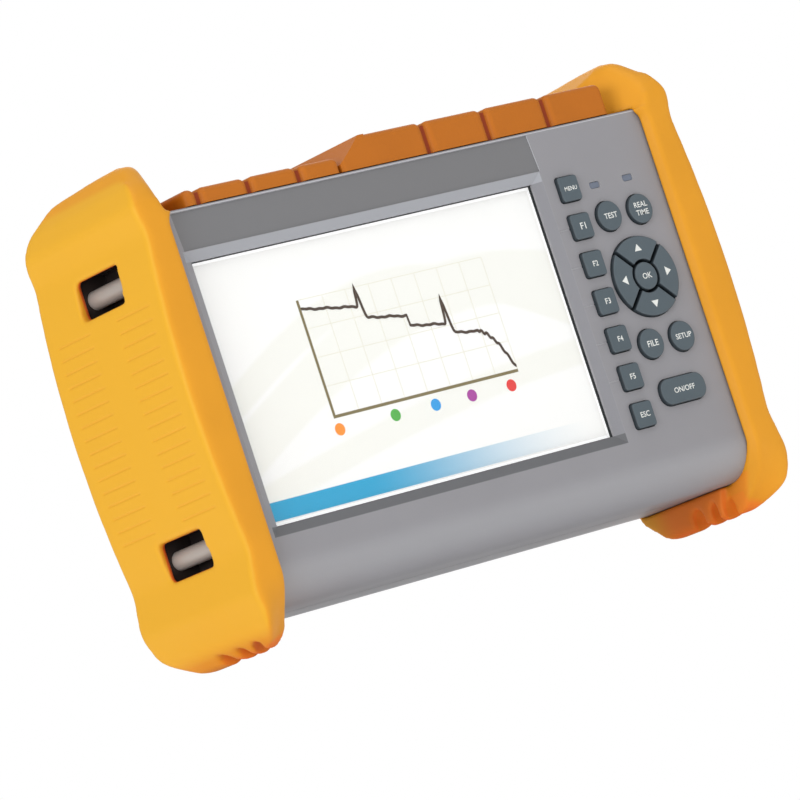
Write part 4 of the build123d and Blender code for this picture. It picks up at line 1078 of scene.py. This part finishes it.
@dataclass
class PortDetails:
    """Threads of the fibre ports and contacts of the sockets.

    Attributes:
        radius, pitch, depth: Radius of the barrel, and pitch and height of its thread.
        flange, clear: Height of a port's flange, and distance of the thread from it and from the end.
        sides, rows, run_out: Facets round the thread and along it, and rows in which it fades.
        wires, wire_pitch, wire_wide, wire_thick: Number, distance, half width and thickness of jack wires.
        wire_path: Distance from the jack's wall and depth under its top, along a wire.
        wall: Distance of that wall from the jack's middle.
        strips, strip_pitch, strip: Number, distance and size of the contacts in a USB socket.
        socket, tongue, sunk: Width of a USB socket, place of its tongue's face and depth of a contact.
    """

    ports: tuple[str, ...] = ("otdr_port", "power_meter_port", "fault_locator_port")
    radius: float = 0.00401
    pitch: float = 0.00075
    depth: float = 0.00018
    flange: float = 0.0086
    clear: float = 0.0006
    sides: int = 48
    rows: int = 60
    run_out: int = 4
    wires: int = 8
    wire_pitch: float = 0.00102
    wire_wide: float = 0.0002
    wire_thick: float = 0.00025
    wire_path: Outline = ((0.0002, 0.0012), (0.0006, 0.0022), (0.0032, 0.0098))
    wall: float = 0.0050
    strips: int = 4
    strip_pitch: float = 0.0025
    strip: Triple = (0.0001, 0.0010, 0.0070)
    tongue: float = 0.0004
    socket: float = 0.0072
    sunk: float = 0.0058

    def build(self) -> list[Object]:
        """Builds the threads and contacts."""
        plate = Metal("thread_nickel", srgb(196, 194, 188), 0.28).build()
        gold = Metal("contact_gold", srgb(214, 172, 84), 0.22).build()
        made = [piece(node + "_thread", self.thread(node), plate, "instrument", smooth=True)
                for node in self.ports]
        for name, fill in (("network_contacts", self.network_contacts), ("usb_contacts", self.usb_contacts)):
            made.append(piece(name, mesh_of(name, fill), gold, "instrument"))
        return made

    def thread(self, node: str) -> Mesh:
        """Screw thread round a port's barrel, from just over its flange to just under its end."""
        low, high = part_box(node)
        x, y = (low.x + high.x) / 2, (low.y + high.y) / 2
        foot, head = low.z + self.flange + self.clear, high.z - self.clear
        step = (head - foot) / self.rows

        def fill(work: BMesh) -> None:
            """Spins a line round the barrel and waves the sleeve into a screw that fades at its ends."""
            line = [work.verts.new((x + self.radius, y, foot + step * row)) for row in range(self.rows + 1)]
            edges = [work.edges.new(pair) for pair in zip(line, line[1:])]
            bmesh.ops.spin(work, geom=line + edges, cent=(x, y, 0), axis=(0, 0, 1), angle=2 * math.pi,
                           steps=self.sides, use_merge=True)
            for vertex in work.verts:
                turn = math.atan2(vertex.co.y - y, vertex.co.x - x)
                rise = vertex.co.z - foot
                wave = 0.5 + 0.5 * math.cos(2 * math.pi * rise / self.pitch - turn)
                end = min(1.0, rise / step / self.run_out, (self.rows - rise / step) / self.run_out)
                radius = self.radius + self.depth * wave * max(0.0, end)
                vertex.co.x = x + radius * math.cos(turn)
                vertex.co.y = y + radius * math.sin(turn)
        return mesh_of(node + "_thread", fill)

    def network_contacts(self, work: BMesh) -> None:
        """Adds the slanting spring wires in the network jack, each a small face drawn out along its path."""
        low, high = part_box("ethernet_jack")
        middle, wall = (low.x + high.x) / 2, (low.y + high.y) / 2 - self.wall
        path = [Vector((0, wall + back, high.z - deep)) for back, deep in self.wire_path]
        for index in range(self.wires):
            x = middle + (index - (self.wires - 1) / 2) * self.wire_pitch
            corners = ((-self.wire_wide, 0), (self.wire_wide, 0), (self.wire_wide, self.wire_thick),
                       (-self.wire_wide, self.wire_thick))
            face = work.faces.new([work.verts.new(path[0] + Vector((x + side, back, 0)))
                                   for side, back in corners])
            for here, there in zip(path, path[1:]):
                face = drawn_out(work, face, there - here)

    def usb_contacts(self, work: BMesh) -> None:
        """Adds the strips on the tongue of each USB socket as thin bars."""
        low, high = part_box("usb_sockets")
        for centre in (low.x + self.socket / 2, high.x - self.socket / 2):
            for index in range(self.strips):
                y = (low.y + high.y) / 2 + (index - (self.strips - 1) / 2) * self.strip_pitch
                place = (centre + self.tongue + self.strip[0] / 2, y, high.z - self.sunk)
                bar = bmesh.ops.create_cube(work, size=1.0)["verts"]
                bmesh.ops.scale(work, vec=self.strip, verts=bar)
                bmesh.ops.translate(work, vec=place, verts=bar)


@dataclass(frozen=True)
class Finishes:
    """Materials of the CAD nodes, made once and shared.

    Attributes:
        grooves: Distance of each cover's grooves from its right end.
        strap_end, strap_bar: Hidden length at each end of a strap pin, and its radius.
        strap_tall: Half the height of a strap window.
    """

    orange: Moulded = Moulded("bumper_rubber", srgb(219, 149, 28), 0.56, Grain.PEBBLED, 0.0011, 0.00003, 0.03,
                              gloss=0.3)
    cover: Moulded = Moulded("cover_rubber", srgb(182, 102, 14), 0.56, Grain.PEBBLED, 0.0011, 0.00003, 0.03,
                             gloss=0.3)
    grey: Moulded = Moulded("case_grey", srgb(141, 140, 144), 0.46, Grain.SATIN, 0.0006, 0.00002, 0.02)
    key: Moulded = Moulded("key_rubber", srgb(76, 88, 95), 0.55, Grain.SATIN, 0.0005, 0.00001, 0.04)
    grooves: tuple[tuple[str, tuple[float, ...]], ...] = (
        ("low_port_cover", (0.0183, 0.0408, 0.0633)), ("tall_port_cover", (0.0286, 0.0572, 0.0858)))
    strap_end: float = 0.0026
    strap_bar: float = 0.0035
    strap_tall: float = 0.00685

    def build(self, display: Display) -> dict[str, Material]:
        """Material of every CAD node by its name, given the display for the case's bevel."""
        windows = self.windows()
        grey, key = GreyCase(self.grey), KeyRubber(self.key).build()
        chosen = {node: key for node in cad_nodes() if node.endswith("_key")}
        chosen |= dict.fromkeys(("left_bumper", "right_bumper"), BumperRubber(self.orange).build(windows))
        chosen |= dict.fromkeys(("rear_case", "battery_door"), grey.plain(windows))
        chosen["front_case"] = grey.build(display.low, display.high, windows)
        groups = {
            ("left_strap_pins", "right_strap_pins"):
                Metal("blasted_steel", srgb(176, 168, 161), 0.42, metallic=0.15),
            ("cover_hinge_pins", "stand_pins", "dome_switches"):
                Metal("pin_steel", srgb(186, 184, 180), 0.34, (1.0, 0.1, 1.0)),
            ("case_screws", "door_screws", "board_screws"): Metal("screw_steel", srgb(120, 120, 124), 0.32),
            ("otdr_port", "power_meter_port", "fault_locator_port", "usb_sockets", "ethernet_jack"):
                Metal("port_nickel", srgb(190, 188, 180), 0.26),
            ("optical_module",): Metal("module_aluminium", srgb(176, 178, 180), 0.36, (4.0, 4.0, 0.4)),
            ("main_board", "keypad_board", "io_board"): CircuitBoard(),
            ("port_tray", "kickstand", "dc_jack", "buzzer", "fibre_spool"):
                Moulded("black_plastic", srgb(40, 41, 44)),
            ("keypad_mat", "case_seal"): Moulded("dark_rubber", srgb(44, 46, 50), 0.6, grain_size=0.0008),
            ("screen_window",): Glass(),
            ("lcd_module",): Moulded("display_body", srgb(58, 60, 64), 0.4),
            ("left_led_lens", "right_led_lens"):
                Moulded("led_lens", srgb(104, 112, 128), 0.25, Grain.SMOOTH, coat=0.6),
            ("battery_pack",): Moulded("battery_sleeve", srgb(34, 62, 120), 0.3, coat=0.4),
            ("ferrule_sleeves",): Moulded("ceramic", srgb(232, 232, 226), 0.2, Grain.SMOOTH, coat=0.3),
        }
        for nodes, finish in groups.items():
            chosen |= dict.fromkeys(nodes, finish.build())
        for node, steps in self.grooves:
            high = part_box(node)[1]
            chosen[node] = CoverRubber(self.cover).build([high.x - step for step in steps], high.z)
        return chosen

    def windows(self) -> StrapWindows:
        """Works out the strap windows from the two bars of a strap pin node."""
        low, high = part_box("left_strap_pins")
        heights = tuple((middle - self.strap_tall, middle + self.strap_tall)
                        for middle in (low.z + self.strap_bar, high.z - self.strap_bar))
        return StrapWindows(low.y + self.strap_end, high.y - self.strap_end, heights)


def dress_nodes(chosen: dict[str, Material]) -> None:
    """Gives each CAD node the material chosen for its name."""
    for node, made in cad_nodes().items():
        made.data.materials.clear()
        made.data.materials.append(chosen[node])


@dataclass(frozen=True)
class Lamp:
    """Soft square lamp of a side in metres and a power in watts, aimed at a height on the instrument."""

    name: str
    place: Triple
    size: float
    power: float
    aim: float = 0.08

    def build(self) -> None:
        """Hangs the lamp."""
        data = bpy.data.lights.new(self.name, "AREA")
        data.size = self.size
        data.energy = self.power
        made = linked(self.name, data)
        made.location = self.place
        made.rotation_mode = "QUATERNION"
        made.rotation_quaternion = (Vector((0, 0, self.aim)) - Vector(self.place)).to_track_quat("-Z", "Y")


@dataclass
class Studio:
    """Pale floor, soft lights and the photograph's camera.

    Attributes:
        azimuth: Direction in which the camera looks, turned from +Y towards +X, in degrees.
        tilt, roll: How far it looks upwards, and how far the picture is turned.
        distance, aim: From the camera to the point in the middle of the picture.
        lens, sensor: Focal length and width of the sensor in millimetres.
        ambient, table: Strength of the even light from all round and of the floor's own light.
        paper, floor_z: Colour and height of the floor, just under the feet.
    """

    azimuth: float = 39.071
    tilt: float = 4.694
    roll: float = -18.097
    distance: float = 2.0856
    aim: Triple = (-0.00575, 0.00602, 0.07424)
    lens: float = 264.02
    sensor: float = 36.0
    ambient: float = 0.56
    table: float = 0.27
    paper: Colour = (0.92, 0.92, 0.92)
    floor_z: float = -0.0002
    lamps: tuple[Lamp, ...] = (
        Lamp("key_light", (-2.0, -0.8, 0.25), 1.0, 24.0), Lamp("front_light", (0.3, -2.0, 0.15), 1.2, 3.2),
        Lamp("top_light", (0.0, -0.7, 1.6), 1.5, 9.0), Lamp("rim_light", (1.2, 1.3, 1.2), 1.0, 8.0))

    def build(self) -> None:
        """Builds the whole studio."""
        self.camera()
        self.world()
        self.floor()
        for lamp in self.lamps:
            lamp.build()

    def camera(self) -> None:
        """Places the camera that took the photograph."""
        azimuth, tilt, roll = (math.radians(angle) for angle in (self.azimuth, self.tilt, self.roll))
        turn = (Matrix.Rotation(-azimuth, 4, "Z") @ Matrix.Rotation(math.pi / 2 + tilt, 4, "X")
                @ Matrix.Rotation(roll, 4, "Z"))
        data = bpy.data.cameras.new("photo_camera")
        data.lens = self.lens
        data.sensor_width = self.sensor
        data.clip_end = 50
        made = linked("photo_camera", data)
        made.matrix_world = Matrix.Translation(self.aim) @ turn @ Matrix.Translation((0, 0, self.distance))
        bpy.context.scene.camera = made
        bpy.context.scene.view_settings.view_transform = "Standard"

    def world(self) -> None:
        """Even ambient light, with a white background where it is seen."""
        world = bpy.data.worlds.new("studio_world")
        bpy.context.scene.world = world
        tree = Tree(world)
        path = tree.node("ShaderNodeLightPath").outputs
        seen = Shade(tree, path["Is Camera Ray"]).either(Shade(tree, path["Is Transmission Ray"]))
        ambient, white = (tree.node("ShaderNodeBackground", {"Color": (1, 1, 1), "Strength": strength})
                          for strength in (self.ambient, 1.0))
        mix = tree.node("ShaderNodeMixShader", {0: seen, 1: ambient.outputs[0], 2: white.outputs[0]})
        tree.node("ShaderNodeOutputWorld", {"Surface": mix.outputs[0]})

    def floor(self) -> None:
        """Pale floor that can't be seen from beneath."""
        place = Matrix.Translation((0, 0, self.floor_z))
        mesh = mesh_of("floor", lambda work: bmesh.ops.create_grid(work, size=4.0, matrix=place))
        canvas = Canvas("floor_paper")
        canvas.put(Base_Color=self.paper, Emission_Color=(1, 1, 1), Emission_Strength=self.table,
                   Roughness=canvas.noise(0.2, 2.0) * 0.1 + 0.8)
        beneath = canvas.node("ShaderNodeNewGeometry").outputs["Backfacing"]
        clear = canvas.node("ShaderNodeBsdfTransparent").outputs[0]
        mix = canvas.node("ShaderNodeMixShader", {0: beneath, 1: canvas.shader.outputs[0], 2: clear})
        canvas.feed(canvas.output.inputs["Surface"], mix.outputs[0])
        mesh.materials.append(canvas.material)
        made = linked("floor", mesh)


def main() -> None:
    """Builds every sub-assembly in order."""
    logging.basicConfig(level=logging.INFO, format="%(message)s")
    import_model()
    display = Display()
    finishes = Finishes().build(display)
    dress_nodes(finishes)
    made = SoftBumpers().build(finishes["left_bumper"])
    for group in (display, KeyLegends(), PortDetails()):
        made += group.build()
    for thing in made:
        LOG.info("built %s", thing.name)
    Studio().build()


if __name__ == "__main__":
    main()
